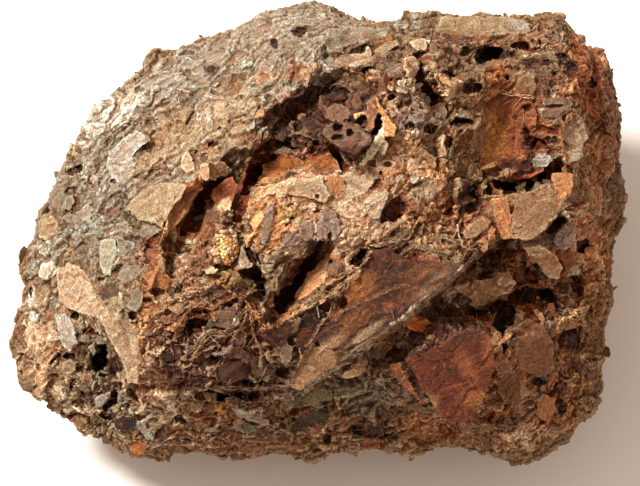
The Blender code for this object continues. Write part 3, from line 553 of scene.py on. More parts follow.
        (47.6, -7.4), (45.2, -6.6), (43.6, -4.4), (41.8, -2.8)]),
    "orange face of the right": (0.5, -0.1, 0, 1.6, RUST, [(48, -1), (51, -1.6), (51.2, -4.4), (49.2, -6.4),
        (48.6, -4.2), (47.4, -2.2)]),
    "olive dark clast": (1.8, 0.1, -0.1, 2, MUSHROOM, [(46.4, 0.6), (47.2, 2.3), (48.6, 3.8), (50.2, 4.4),
        (51.2, 3.4), (51.2, 1.6), (50.4, -0.2), (48.8, -1.5), (47.2, -1)]),
    "tan ledge": (0.7, 0, 0.12, 2.4, TAN, [(38.3, 9.8), (41, 10.4), (44, 11.7), (45.8, 12), (46.6, 9.8),
        (48.6, 8), (50.2, 7.8), (48.2, 6.4), (45.6, 3.9), (44.6, 2.4), (42.8, 1.1), (41, 0.3), (39.2, 0.8),
        (37.8, 3), (38.4, 6)]),
    "gold ledge": (0.5, 0.2, 0.05, 2, COPPER, [(33.9, 9), (36.4, 9.2), (37.7, 8), (38, 5.6), (37.4, 3),
        (38.9, 0.8), (36.2, 0.7), (35, 3), (34.4, 6)]),
    "cream lip": (0.9, 0.2, -0.1, 1.4, APRICOT, [(33.9, 11.6), (35.2, 10.9), (36.9, 10.6), (36.3, 9.4),
        (34.4, 9.2)]),
    "cream lens": (1.8, 0.1, -0.1, 1, CREAM, [(38.8, 11.1), (40, 11.9), (41.5, 12.5), (40.6, 11.3),
        (39.4, 10.6)]),
    "orange cushion": (0.9, 0, 0.1, 2, COPPER, [(45.9, 12.6), (46, 14.2), (48, 14), (50.7, 13.8),
        (50.4, 12.2), (50, 10), (49, 8.4), (47.5, 8.6), (46.6, 10.6)]),
    "cream chips by the mouth": (0.8, 0.1, 0, 1.6, TAN, [(28.8, 0.8), (30.6, 0.9), (33.5, 3), (34.1, 4.4),
        (32.4, 5.4), (29.2, 3.6), (28.2, 2.2)]),
    "grey-green clast of the bowl": (1.1, 0.15, -0.15, 2, PALE_TAN, [(48.4, 22), (49.6, 24), (51, 26),
        (52.4, 24.8), (53.5, 21), (52.6, 19.8), (52.5, 17), (49.6, 16), (48.6, 18)]),
    "white plate": (0.5, 0.1, 0.1, 1.2, PALE_STONE, [(42.2, 16.2), (43.5, 17.8), (45.5, 17.6), (46.8, 16.6),
        (45, 15.1), (43, 15)]),
    "red lip": (1.4, 0.1, 0, 1, BRICK, [(36.2, 13), (40, 13.4), (42, 13.7), (45, 14.9), (44.6, 14.1),
        (42.2, 12.9), (39.6, 12.5), (37.4, 12.5)]),
    "bright tan of the bowl": (0.3, 0.05, 0, 1.4, TAN, [(37.6, 30.6), (38.6, 33.6), (40.6, 34.4),
        (42.6, 33.2), (43.2, 31), (42.4, 29.4), (38.8, 29.8)]),
    "crusty grey of the bowl": (0.5, 0, 0, 1.6, BROWN, [(44.4, 25), (44.8, 28.8), (48.4, 29), (50.6, 28),
        (49.6, 26.2), (47.6, 24.6)]),
    "cream upright": (0.6, 0.2, 0, 1.4, PALE_STONE, [(40.2, 24.4), (41.4, 26.2), (42.6, 27.2), (43.3, 26),
        (42.9, 23.4), (41.8, 22.8)]),
    "plateau": (0.6, 0, 0.1, 2, DRAB, [(23.4, 42.4), (24, 45.6), (32, 46), (38.6, 45.6), (42.6, 44.4),
        (42, 42.6), (36, 42), (30, 41.6)]),
    "plateau's grey end": (0.8, 0, 0.1, 1.4, PALE_STONE, [(38.4, 43.2), (38.8, 45), (41.6, 44.8),
        (42.2, 43.4), (40.4, 42.8)]),
    "plate over the crescent": (1.3, 0.1, -0.1, 1.2, BUFF, [(26.8, 25.2), (27.8, 26.4), (30.2, 26.3),
        (30.8, 25.2), (30.4, 24.5), (28, 24.7)]),
    "cream lens of the top": (1, 0.1, 0, 2, FAWN, [(16.6, 35), (16.8, 36.8), (18.6, 37.2), (19.7, 36),
        (19.8, 34.4), (18.6, 32.6), (17.2, 32.8)]),
    "cream cap": (0.8, 0.1, -0.1, 1.6, PALE_TAN, [(17.6, 40.3), (19.4, 40.9), (21.5, 40.8), (21.4, 38.8),
        (20, 38), (18.6, 39)]),
    "ochre band, left": (0.7, 0.1, -0.1, 1.6, PALE_TAN, [(2.8, 36.5), (4.2, 37.5), (6.4, 38), (8.8, 38.2),
        (9.4, 39.6), (10.4, 39), (10.6, 36.6), (9, 35.6), (7, 35.2), (4.8, 35.6)]),
    "ochre band, right": (0.9, 0.1, -0.1, 1.6, DRAB, [(10.8, 38.6), (13, 40.2), (15.4, 40.8), (15.9, 39.9),
        (13.8, 38.6), (12, 37.6), (10.9, 37.2)]),
    "smooth grey of the rim": (0.3, 0, 0, 1.4, STONE, [(0.6, 40.4), (2.2, 38.4), (4.6, 39.4), (8, 40.4),
        (13.2, 41.4), (13.6, 42.6), (10, 43.4), (5, 43.8), (2, 42.8)]),
    "tan clast of the cave": (0.8, 0.2, 0, 2, BROWN, [(0.8, 25.2), (1.2, 26.8), (2.4, 27.6), (4.4, 27.7),
        (5.9, 26), (5.5, 24.6), (4.4, 23.9), (2.4, 24.1), (1, 24.5)]),
    "holed clast": (1.5, 0.05, 0.02, 2.6, BROWN, [(0.1, 21.6), (0.9, 23), (2.1, 23.9), (4.2, 23.7),
        (6, 23.9), (7.4, 23.5), (8.9, 21.5), (10.3, 20.7), (9.9, 19.5), (8.4, 18.5), (6.8, 17.2), (4.4, 18),
        (3.1, 19.1), (1.5, 20.2)]),
    "dark foot of the holed clast": (1.2, 0, 0.4, 1.6, COCOA, [(3.2, 18.9), (5.4, 19), (8, 19.2),
        (9.4, 18.9), (8, 17.6), (6.8, 16.8), (4.6, 17.4)]),
    "yellow-green clast": (1.2, 0.2, 0, 2, CARAMEL, [(9.2, 27.8), (10.2, 28.3), (11.3, 26.2), (11.5, 25),
        (11, 23), (10.1, 22), (9.2, 22.5), (9.1, 24.6)]),
    "orange side of it": (1.2, -0.2, 0, 1.6, COPPER, [(10.6, 29.2), (11.6, 28.8), (12.2, 27), (13.9, 24.7),
        (12.6, 25), (11.6, 25.4), (11.3, 26.6)]),
    "brown chip of the cave": (1, 0.2, 0.1, 1.6, UMBER, [(6.6, 29.2), (7.2, 30), (8, 29), (8.4, 27.6),
        (7, 26.5), (6.2, 27.4)]),
    "cream sliver": (2, 0.6, -0.2, 1.6, CREAM, [(7.4, 15.2), (9, 17.6), (10.4, 20.2), (11.5, 22.4),
        (12.6, 22.8), (12.4, 20.2), (11, 17.6), (9.4, 15.6)]),
    "bright orange bit": (1.4, 0.1, -0.1, 1.4, APRICOT, [(12.2, 23.4), (12.6, 24.9), (14.4, 24.4),
        (15.4, 22.6), (14.6, 20.6), (12.8, 20.8)]),
    "pinkish lump": (2.4, 0.35, -0.2, 1.6, PALE_TAN, [(11.3, 20.4), (12.4, 21), (13.7, 19.5), (13, 17.5),
        (12.1, 17.2)]),
    "cream arch of the cave": (1.2, 0.1, -0.1, 1.2, APRICOT, [(6.5, 25.6), (8.8, 26.1), (9.1, 25),
        (8.2, 25.3), (7.2, 24.2), (6.6, 24.6)]),
    "cream streak": (0.6, 0.1, -0.1, 1.2, TAN, [(-4.5, 32.4), (-4.4, 34.6), (-1.6, 34.9), (-0.8, 36),
        (-0.6, 34.6), (-2.4, 33)]),
    "ledge over the flat plates": (0.9, 0.05, -0.2, 1.2, BROWN, [(-10, 18.3), (-8, 19.1), (-5.4, 18.9),
        (-5.7, 17.7), (-9, 17.5)]),
    "hanging tan chip": (0.9, 0.1, 0.1, 1.2, SAGE, [(-5.8, 16.8), (-3.9, 17.2), (-3.3, 16), (-4.4, 15),
        (-5.3, 15.3)]),
    "brown diamond": (0.5, 0.1, -0.1, 1, COCOA, [(-7.4, 13.2), (-6.2, 15.2), (-3.8, 13.9), (-6.8, 12.8)]),
    "cream plate": (0.9, 0.04, 0, 1.8, SAND, [(-11.4, 9.2), (-10.5, 10.7), (-9.2, 11.4), (-8, 12.3),
        (-4.5, 12.9), (-1.6, 12.8), (0.4, 13.8), (0.8, 12.8), (1.6, 10.4), (2.6, 9.3), (1, 7.8), (-1.5, 8.6),
        (-3, 9), (-6, 9.5), (-9.5, 9.6)]),
    "greyish half of it": (1.2, 0.04, 0, 1, PALE_TAN, [(-4.4, 12.2), (-1.4, 12.4), (0.2, 13.2), (1.2, 10.8),
        (1.9, 9.4), (0.6, 8.2), (-1.6, 9), (-3.8, 9.8), (-5.2, 11.2)]),
    "orange plate": (0.3, 0, 0, 1.4, COPPER, [(1.1, 13.5), (3.6, 13.4), (5, 12.5), (4.7, 10.5), (3.6, 9.3),
        (2.6, 9.5), (1.8, 11)]),
    "tan plate": (0.6, 0.03, -0.02, 1.6, PALE_TAN, [(4.8, 13.8), (6.5, 14.4), (8, 13.5), (10, 14.5),
        (11.3, 14.6), (11.7, 13.2), (10.6, 11.6), (8.5, 9.7), (6, 8.7), (4.7, 9.5), (5, 12.2)]),
    "cream right plate": (0.8, 0.06, 0, 1.8, PALE_TAN, [(8.2, 7.6), (10.2, 9.8), (13.2, 10.7), (14, 9.8),
        (12.6, 7), (11.9, 4.9), (10.6, 4.4), (9, 5.8)]),
    "lavender strip": (0.7, 0.08, 0, 1.2, MUSHROOM, [(-11.8, 0), (-11.2, 3), (-10.8, 6), (-9.8, 7.4),
        (-8.8, 6.8), (-9.4, 4), (-10, 1.2), (-10.8, -0.6)]),
    "lavender plate": (0.6, 0, 0.05, 1.4, MUSHROOM, [(-7.4, 0.4), (-7, 2), (-4.3, 1.9), (-3.8, 0.2),
        (-4.8, -0.6), (-6.5, -0.9)]),
    "pinkish plate": (0.8, 0.03, 0, 1.4, MUSHROOM, [(-3.8, 1.8), (-3.8, 4), (-1.6, 4.3), (-0.8, 2.8),
        (-1.6, 0.9), (-3, 0.3)]),
    "grey plate": (0.9, 0.03, -0.03, 1.8, MUSHROOM, [(-0.6, 3.6), (1, 6.7), (3, 6.4), (4, 4.6), (4.2, 2.2),
        (2.8, 0.3), (1, 0.8), (-0.4, 1.6)]),
    "grey corner plate": (0.8, 0.1, 0, 1.6, PALE_TAN, [(-11.2, -4), (-10.8, -2.2), (-9, -1.6), (-8, -0.5),
        (-7.9, -2.6), (-9, -4)]),
    "tan foot": (0.6, 0.1, 0, 1.8, DRAB, [(-12.6, -4.4), (-11.2, -4.2), (-9.2, -4.2), (-8.6, -3.6),
        (-9.8, -5.4), (-10.2, -7.6), (-11.4, -6.6)]),
    "chip over the beads": (0.9, 0.1, -0.1, 1.2, UMBER, [(-23, 4.6), (-22.3, 6.9), (-20.2, 6), (-19.8, 4.9),
        (-21.5, 4)]),
    "cream chip of the hollow": (1.4, 0.2, 0, 1.2, CARAMEL, [(-20.4, 7.2), (-19.2, 8), (-18.6, 6.6),
        (-19, 6)]),
    "chip under the beads": (1.5, 0.1, -0.2, 1.2, BUFF, [(-23.1, -5.2), (-21, -4.4), (-19.8, -5),
        (-20.8, -6.2), (-22.3, -6.3)]),
    "pyramid by the beads": (1.7, 0.4, -0.1, 1.8, PALE_TAN, [(-16.2, -3), (-15.8, -0.4), (-15, -1.2),
        (-14.2, -3.2), (-13.2, -5), (-15.9, -5)]),
    "orange mound": (1, 0.1, 0.1, 2, COPPER, [(-35.2, -6.6), (-33.2, -5.2), (-30.6, -5.4), (-28.9, -7.8),
        (-30.4, -9.2), (-33, -9)]),
    "lit crust of the pit": (1.5, 0.5, -0.2, 2, APRICOT, [(1.2, -1.8), (1.9, -3), (1, -5), (1.4, -6.8),
        (0.2, -8.2), (-1.8, -9.2), (-4.4, -11.2), (-5.5, -10.6), (-3.2, -7.5), (-1.8, -5.5), (0.2, -3.4)]),
    "grey-green clast of the outline": (0.9, 0.25, -0.15, 2.4, TAUPE, [(-55, 8.2), (-54, 10.4), (-52, 11.4),
        (-50, 10.8), (-49.2, 8.6), (-50.4, 6.6), (-53, 6.8)]),
    "grey-green plate": (0.7, 0.1, -0.1, 1.6, TAUPE, [(-51.9, 5.2), (-50.3, 6.4), (-48.6, 5.2), (-49, 4.2),
        (-50.8, 3.9)]),
    "orange-tan flake": (0.7, 0.2, -0.1, 1.8, DRAB, [(-57, 1.2), (-55.8, 4.9), (-54, 5.6), (-52.6, 4),
        (-53, 2), (-55, 0.4)]),
}

# Flat walls in the arch's trench, where the ground is too steep for a fragment: how far out of the face
# their middle lies, then as for the flat fragments.
WALLS = {
    "cut side of the orange flake": (23.4, -0.1, -0.1, 3, COPPER, [(-26.4, 11.6), (-24.6, 12.4), (-23.8, 12),
        (-24.6, 9.6), (-26, 6.6), (-27.8, 4.2), (-30.8, 2.8), (-29.4, 6), (-27.6, 8.6)]),
    "septum of the arch": (24, 0.7, 0.1, 5, HEMATITE, [(-17.5, 6.4), (-17, 9), (-16.4, 11.4), (-15.4, 14.4),
        (-14.6, 16.8), (-13.8, 17), (-14.5, 13.6), (-15.3, 10.6), (-15.9, 8), (-16.4, 6.2)]),
    "curtain of the left run": (22.2, 0.6, -0.1, 4, RUST, [(-21.8, 8.8), (-21.2, 10.8), (-19.4, 12.2),
        (-17.2, 13.4), (-16.6, 11.6), (-17, 9.2), (-17.8, 6.8), (-19.6, 6.4)]),
    "cream chip of the curtain": (23.4, 0.4, -0.3, 2, SAND, [(-20.6, 6.6), (-19.6, 8.6), (-18.4, 9.6),
        (-17.6, 8.2), (-17.8, 6.4), (-19.2, 5.8)]),
    "light foot of the orange flake": (23.6, 0.3, -0.2, 3, APRICOT, [(-31, 2.6), (-30, 5.2), (-28.6, 7.8),
        (-27.4, 8.2), (-26.8, 6.2), (-28, 4), (-29.6, 2.2)]),
}

# Lumps: middle, half length, half width, turn, rise, stain.
LUMPS = {
    "ringed lump": ((3.2, -5.2), 1.9, 1.6, 10, 0.9, BROWN),
    "button": ((35, -32), 2.1, 1.8, 0, 1.2, CARAMEL),
    "dark clast of the pit": ((-41.5, -24.6), 1.8, 1.6, 0, 1.4, BLACK_BROWN),
    "knob of the outline": ((-36.8, -41.2), 1.8, 1.3, -50, 0.9, AMBER),
    "grey-green bump": ((-59.4, -6.8), 1.1, 0.8, 30, 0.6, DARK_OLIVE),
    "orange-brown bump": ((-54.6, -15), 1.2, 0.9, 60, 0.6, CARAMEL),
    "cream bump of the outline": ((-50.2, 19), 1.1, 1.5, 10, 0.5, CREAM),
    "orange bump of the cells": ((-20.4, -33), 1.1, 1, 20, 0.8, GOLD),
    "tan bump": ((-24.4, -33.4), 1, 0.9, 0, 0.8, FAWN),
    "brown bump": ((-31, -35.6), 1.6, 1.1, 10, 0.8, DRAB),
    "tan roll": ((-29.2, 2.2), 0.9, 2.4, 12, 1, SAND),
    "grey-purple eye": ((-34, -18), 1, 0.7, 0, 0.5, MAUVE),
    "brown bump of the bottom": ((11, -40.8), 2.6, 1.1, -12, 0.9, RUST),
    "holed knob": ((10.4, 15.8), 1.3, 1.2, 0, 0.9, SAND),
    "second holed knob": ((13.4, 15.6), 1.3, 1.1, 0, 0.8, SAND),
    "orange lump of the right": ((46.5, -3.8), 1.1, 1.3, 0, 0.6, APRICOT),
    "pale lump": ((11, 4.2), 1, 0.6, 20, 0.6, PALE_STONE),
    "white speck": ((21.9, 40.5), 0.5, 0.6, 0, 0.4, CLAY_WHITE),
    "white bit": ((18.8, 12.2), 1.1, 0.7, 30, 0.6, PALE_STONE),
    "lilac bit": ((-31.4, 15.5), 0.6, 0.5, 0, 0.4, MAUVE),
    "cream bump, low left": ((-50, -34), 2, 0.9, 20, 1.1, CREAM),
}

# The ground by zones: middle, half length, half width, turn, stain, flecks, then how broken up it is, how
# stepped in ledges, how thick with loose chips, and how far its veins show.
ZONES = {
    "upper skin": ((-24, 28), 36, 15, 35, STONE, TAUPE, 0.2, 0.8, 0.32, 0.15),
    "warm skin": ((-25, 23.5), 13, 6.5, 25, DRAB, STONE, 0.24, 0.65, 0.4, 0.15),
    "grey-green skin": ((-27, 33), 8, 4.5, 40, OLIVE_GREY, STONE, 0.16, 0.9, 0.25, 0.1),
    "left shoulder": ((-47, 17), 10, 6, 62, TAUPE, SAGE, 0.3, 0.7, 0.45, 0.2),
    "left end": ((-55.5, 0.5), 4.5, 6, 0, SAGE, TAUPE, 0.5, 0.4, 0.45, 0.3),
    "left middle": ((-43, 5), 8, 9, 0, OLIVE_GREY, TAUPE, 0.5, 0.5, 0.6, 0.2),
    "mosaic": ((-39, -7.5), 7, 7, 0, TAUPE, OLIVE_GREY, 0.55, 0.2, 0.55, 0.4),
    "orange border": ((-29, -7), 8, 8, 0, TAN, CARAMEL, 0.7, 0.2, 0.8, 0.4),
    "sandy ground": ((-47, -18), 10, 12, 30, DRAB, TAUPE, 0.45, 0.2, 0.7, 0.4),
    "orange sand": ((-56, -24), 5, 8, 10, BUFF, DRAB, 0.4, 0.2, 0.45, 0.2),
    "low left breccia": ((-42, -30), 10, 9, 0, DRAB, TAUPE, 0.9, 0.1, 0.9, 0.8),
    "tan slope": ((-34, -24), 5, 9, 10, FAWN, CARAMEL, 0.7, 0.1, 0.7, 0.7),
    "dark breccia": ((-25, -23.5), 7.5, 7.5, 0, LIVER, UMBER, 0.6, 0.1, 0.65, 1),
    "upper hollow": ((3, 23.5), 14, 9, 10, UMBER, COCOA, 0.7, 0.1, 0.5, 0.5),
    "grey mosaic": ((18, 28), 7.5, 9.5, -20, FAWN, PALE_TAN, 0.8, 0.2, 0.7, 0.5),
    "brown ridge": ((35, 40.5), 15, 4, 3, BROWN, CARAMEL, 0.6, 0.3, 0.6, 0.4),
    "bowl": ((38, 24.5), 11, 10, 0, CARAMEL, TOBACCO, 0.5, 0.1, 0.45, 0.3),
    "right rim": ((54.5, 26), 6.5, 17, 4, COPPER, CARAMEL, 0.45, 0.4, 0.45, 0.3),
    "orange rim": ((52.5, 34), 4, 8, 10, RUST, AMBER, 0.5, 0.3, 0.45, 0.4),
    "far right": ((60, 26), 2.6, 11, 6, TOBACCO, BROWN, 0.35, 0.5, 0.3, 0.3),
    "island": ((2, 6), 14, 10, 30, BUFF, COPPER, 0.3, 0.45, 0.65, 0.15),
    "left island": ((-11.5, 4.5), 4.5, 9, -8, APRICOT, TAN, 0.32, 0.45, 0.65, 0.2),
    "bead bed": ((-20, -2), 7.5, 6.5, 0, PALE_TAN, TAN, 0.6, 0.1, 1, 0.1),
    "right island": ((16, 10.5), 8, 6, 0, FAWN, TAN, 0.3, 0.45, 0.65, 0.2),
    "right of the caves": ((17.5, 16.5), 8, 4.5, 5, SAND, AMBER, 0.35, 0.3, 0.6, 0.2),
    "right middle": ((25, 3.5), 8, 7, 0, COPPER, CARAMEL, 0.7, 0.1, 0.7, 0.5),
    "right flank": ((53, -3.5), 6, 13, 0, APRICOT, COPPER, 0.6, 0.3, 0.6, 0.5),
    "recess": ((38, -9), 13, 8.5, 8, RUST, UMBER, 0.8, 0.1, 0.6, 0.6),
    "panel's side": ((10, -14), 20, 6, 45, CARAMEL, LIVER, 0.4, 0.1, 0.3, 0.5),
    "low middle": ((-19, -20.5), 11.5, 10.5, 0, LIVER, COCOA, 0.5, 0.1, 0.6, 1),
    "low centre": ((2, -30), 13, 8, 10, MUSHROOM, UMBER, 0.5, 0.1, 0.6, 0.9),
    "bottom": ((-9, -38), 28, 6, 2, CARAMEL, BROWN, 0.6, 0.2, 0.65, 0.8),
    "low right": ((42, -29), 14, 13, 0, COPPER, BROWN, 0.7, 0.1, 0.7, 0.7),
    "under the panel": ((22, -19), 9, 5, 40, COCOA, MAROON, 0.8, 0, 0.6, 0.6),
}

# Smaller stains on the ground, by area: across, up, half length, half width, turn, stain.
# The black-brown ones, in pits and caves, are painted deep shade as well as stain.
STAINS = {
    "top": [(-5, 46, 7, 1.8, 2, STONE), (-5, 39, 4.5, 2.2, 10, TAUPE), (12.4, 40.3, 1.8, 0.6, 10, COPPER),
        (17, 43.5, 3.6, 1.6, 0, STONE), (17, 42.8, 1.2, 0.7, 0, MAROON)],
    "skin": [(-22, 35.6, 8, 2.6, 14, STONE), (-16, 35.6, 2.4, 2.2, 10, SAGE), (-24, 32, 2, 1.4, 10, SAGE),
        (-22, 35, 1.6, 1, 10, UMBER), (-10.4, 33.2, 2.8, 1, 7, SAND), (-24, 25, 1.8, 1.2, 10, CLAY_WHITE),
        (-11.5, 25.5, 1.3, 1, 10, COPPER), (-17, 31.5, 2.2, 1, 15, CARAMEL),
        (-40.5, 28, 4.4, 2.4, 18, CLAY_WHITE), (-39, 32, 1.6, 2.2, 10, PALE_TAN),
        (-33.5, 35, 1.2, 0.8, 15, CLAY_WHITE), (-42.5, 25.5, 6.5, 2.8, 25, CLAY_WHITE),
        (-47, 20, 1.6, 1.2, 25, CLAY_WHITE), (-46, 11.2, 2.4, 1.6, 10, STONE),
        (-46, 13, 1.4, 0.8, 10, CLAY_WHITE), (-35.2, 24.6, 3.4, 1.2, 18, PALE_STONE),
        (-13, 39.5, 4.5, 2.4, 12, STONE), (-30, 20.5, 4, 2.4, 15, DRAB), (-36, 13.6, 2.2, 2.2, 0, DRAB),
        (-17.5, 23, 3.6, 2.4, 10, DRAB), (-14, 20.4, 3.4, 1.6, 10, CARAMEL)],
    "arch and beads": [(-22.5, 19, 1.2, 0.9, 0, COPPER), (-18.4, 1.4, 2, 3.2, 0, CARAMEL),
        (-22.6, 1, 2.2, 3.4, 10, TOBACCO), (-19, -6.6, 3.2, 2.4, 0, OCHRE),
        (-24.8, -3.4, 2.4, 3, 10, CARAMEL), (-23.6, 10.2, 1, 3.4, 12, BRICK), (-26, 2.6, 1.6, 2, 15, RUST)],
    "caves": [(-4, 33.8, 2.4, 1.3, 5, RUST), (14.6, 35.2, 2.8, 2.8, 0, BROWN),
        (20.8, 36.4, 1.2, 0.8, -20, RUST), (6, 35, 1.2, 0.8, 0, COPPER), (23.8, 31, 2.8, 1.4, -50, APRICOT),
        (9.6, 33.2, 1.8, 0.6, 6, APRICOT), (12, 31.6, 3.6, 0.9, 3, RED_OCHRE),
        (-6, 28.9, 2.2, 1.1, 12, ROSE_TAN), (-2, 25.4, 5.4, 3.4, 15, COCOA),
        (3.4, 29.6, 3.4, 1.5, 3, BLACK_BROWN), (18.6, 25.6, 3.4, 4.4, -20, MUSHROOM),
        (-10.4, 17.2, 3.4, 0.7, 10, ORANGE), (-1.6, 18.4, 3.6, 1, 3, MAROON),
        (-4.2, 18.6, 2.4, 0.7, 24, ROSE_TAN), (1.6, 16.2, 1.4, 0.9, 0, GOLD), (18.6, 17.6, 4, 1.8, 0, SAND)],
    "left middle": [(-33.4, -1.6, 1, 3, 7, RUST), (-29, 1.8, 3.6, 1.4, -14, APRICOT),
        (-34.4, -12, 1.1, 5.4, 3, COPPER), (-35.2, -17.6, 1.2, 2, -20, APRICOT),
        (-28.6, -16.4, 5.4, 1, 18, RUST), (-39, -9.6, 1.4, 1, 0, KHAKI), (-37.4, -6.4, 2, 1.4, 15, OLIVE),
        (-41, -1.6, 1.2, 3.4, 0, CLAY_WHITE), (-39, -21, 1, 1.4, 0, ORANGE)],
    "left end": [(-58.4, -13, 1.6, 3.4, 0, CLAY_WHITE), (-55, -24, 3.2, 6, 5, SAND),
        (-49, -14.7, 1, 0.7, 0, COPPER), (-46.2, -17.6, 1.4, 0.9, 0, RUST), (-48, -35, 1.6, 1, 0, COPPER),
        (-52, -31, 3.2, 2.8, 15, CREAM), (-46.8, -1, 2.4, 3.4, 0, TAUPE)],
    "low left": [(-37.4, -26, 0.8, 1.2, 0, COPPER), (-46, -29.2, 1, 2, 0, MOSS),
        (-34.6, -34.4, 1.8, 1.6, 0, BUFF), (-36.6, -41.4, 1.6, 2.4, -50, COPPER),
        (-30, -41, 4.4, 1.3, 0, BUFF), (-27, -33, 3.4, 3.2, 0, PALE_TAN)],
    "island": [(12, 5.6, 1.6, 1.2, 0, APRICOT), (15.4, 7.2, 3.2, 2, 14, RUST), (6.6, 2.2, 2.4, 1.6, 5, SAND),
        (-0.6, 6.3, 1, 0.6, 0, MAROON), (-5.6, 5.8, 2.2, 1.8, 0, OCHRE), (18, 3.6, 3.4, 1.4, 0, APRICOT),
        (20.6, 9.8, 2.8, 3, 0, DRAB), (23.4, 14.6, 3.2, 2.6, 0, APRICOT),
        (-1.6, -0.6, 1.6, 1.6, 0, BLACK_BROWN), (2.4, -1, 1.4, 1, 0, CARAMEL),
        (22, 0.4, 4.8, 1.4, -8, SAND)],
    "cells": [(-3.2, -7, 3, 7, -38, HEMATITE), (7, -20.4, 3.6, 0.9, 15, BUFF),
        (-10.4, -11.4, 2, 2.6, 15, ROSE_TAN), (-13.6, -15.6, 3, 3.4, 0, CARAMEL),
        (-7.6, -25.4, 1.2, 1.4, 0, MAUVE)],
    "bowl": [(43, 35.8, 3.8, 1.5, 2, MAROON), (34.6, 37.4, 3, 1.5, 5, BLACK_BROWN),
        (35, 32.6, 2.4, 3.6, 5, AMBER), (43, 32.6, 5.4, 3.2, -10, BROWN), (37.6, 24.6, 1.8, 2.2, 0, RUST),
        (31.5, 23, 1.5, 6, 0, TAN), (47.4, 26.8, 3, 2.2, 0, PALE_TAN), (42.5, 19.8, 2.3, 1.6, 0, COCOA),
        (46, 20.4, 1.4, 0.8, 0, BLACK_BROWN), (55, 37, 1.7, 2.6, 15, HEMATITE),
        (49.4, 35.6, 1.4, 2.6, 25, BLACK_BROWN), (30.4, 30.8, 2.2, 1.4, 5, TAN),
        (26.5, 30.6, 2.6, 2.6, 0, SAND), (58.4, 25, 2.4, 9, 2, CARAMEL), (41, 13, 4.6, 0.5, 3, BRICK),
        (48.2, 11.7, 1.1, 0.7, 0, APRICOT), (28.2, 11, 0.8, 2.8, -20, UMBER)],
    "right": [(41, 4.8, 3.4, 1.2, -30, APRICOT), (36.4, 6, 1.6, 3.4, 3, OCHRE),
        (29.6, 8.6, 2.4, 3.4, -14, MAROON), (32.6, 0.9, 2.6, 1, 10, COPPER), (54.6, 3, 2.6, 5.4, 0, COPPER),
        (38.6, -3.2, 5.4, 2.2, 0, RUST), (48.8, -3.6, 1.6, 2.2, 0, ORANGE),
        (51.4, -5.2, 1.2, 0.6, 20, CREAM), (30, -2, 2.6, 1.8, 15, COCOA), (27, -11, 2, 1.2, 0, BUFF),
        (50, -19.6, 2.4, 2.4, 0, COPPER), (55.4, -16, 3.2, 7, 0, CARAMEL)],
    "low right": [(48.2, -32, 1.2, 1.8, 0, COCOA), (41, -39, 6.4, 2.4, 0, SAND),
        (46, -34.2, 2.4, 2.4, 0, RUST), (22, -38, 8, 3, 0, COPPER), (32, -38, 5, 3, 0, CARAMEL)],
    "bottom": [(-15, -30.4, 5, 1.6, 0, COCOA), (-20.4, -36.6, 2.8, 0.9, -36, RUST),
        (-1, -31.2, 4.8, 1.5, 6, MOSS), (9, -31, 5.2, 4.4, 0, OLIVE), (11, -38.2, 5.4, 1.8, -6, BLACK_BROWN),
        (-14, -41.4, 20, 2.2, 0, CARAMEL)],
}

# Patches on the two wide slabs, as for the smaller stains.
PATCHES = {
    "panel": [(8, -9, 3.4, 2.2, 38, AMBER), (14, -3.8, 2.6, 1.6, 20, COCOA), (13.6, -9.4, 3, 1.6, 40, COCOA),
        (19.6, -5.6, 4.6, 1.2, 20, TOBACCO), (22.4, -8, 4, 1, 40, TAN), (6.6, -15.6, 4, 2.2, 40, TOBACCO),
        (13.6, -12.6, 1.2, 0.7, 40, RUST), (8.6, -18.4, 4.6, 0.8, 40, DRAB), (2, -20, 3, 1, 30, TAN)],
    "rust slab": [(24.6, -25.2, 2.6, 2, 20, MAROON), (30.6, -31, 2.4, 1.8, 10, AMBER),
        (29, -24.4, 3.6, 1.6, -60, RUST), (27.6, -18.6, 5, 1.2, 16, COCOA), (33.2, -21, 1.2, 3, 0, RUST),
        (22.4, -31.2, 1.6, 0.9, -50, CARAMEL)],
}

# Loose threads of vein: from and to up the face, from and to across it, how many, and their stain.
THREADS = [
    (-38, -14, -34, -8, 45, FAWN), (-40, -24, -12, 16, 35, KHAKI), (-42, -30, -34, 30, 35, TAN),
    (-36, -18, -54, -36, 30, SAND), (-14, -4, -34, -12, 20, FAWN), (-34, -4, 30, 54, 35, OCHRE),
    (-24, -4, 4, 30, 25, TAN), (-4, 16, 18, 36, 15, KHAKI), (14, 32, -10, 12, 20, TAN),
    (16, 40, 12, 58, 45, FAWN), (10, 40, -40, -6, 30, PALE_TAN), (-12, 16, -58, -34, 30, PALE_TAN),
]



# ---- stone's fabric
COARSE, MIDDLE, FINE, FINEST = 7.0, 3.0, 1.4, 0.75  # fragments' sizes, in millimetres
FRAGMENTS = [  # size, slope of their tops, how much they differ in height, and depth of the gaps between them
    (COARSE, 0.2, 1.2, 0.35), (MIDDLE, 0.34, 1.0, 0.35), (FINE, 0.4, 0.45, 0.2), (FINEST, 0.35, 0.22, 0.08)
]
CRUMB = 0.55
STRETCH = (0.65, 1.0, 0.8)  # cells are longest along the ledges
WAVES, WAVE_REACH = 0.12, 8.0  # the fabric's waves to a millimetre, and how far they shift it
GAP_SHARE = 0.12  # of a fragment, from its edge to the top of the gap's side
VEIN_CELL, VEIN_HEIGHT = 4.8, 0.6
VEIN_WIDTHS = (0.4, 0.62, 0.01, 0.085)  # from and to which noise, and from and to which share of a cell
VEIN_SIDE = (0.6, 1.2, 1.0, 0.0)  # from and to which share of that width a vein slopes down
HOLE_CELL, HOLE_DEPTH, SOUND_SHARE = 2.4, 1.6, 0.78  # small holes, and the share of fragments without one
HOLE_WALL = (0.18, 0.32)  # from and to which share of its cell a hole's wall rises
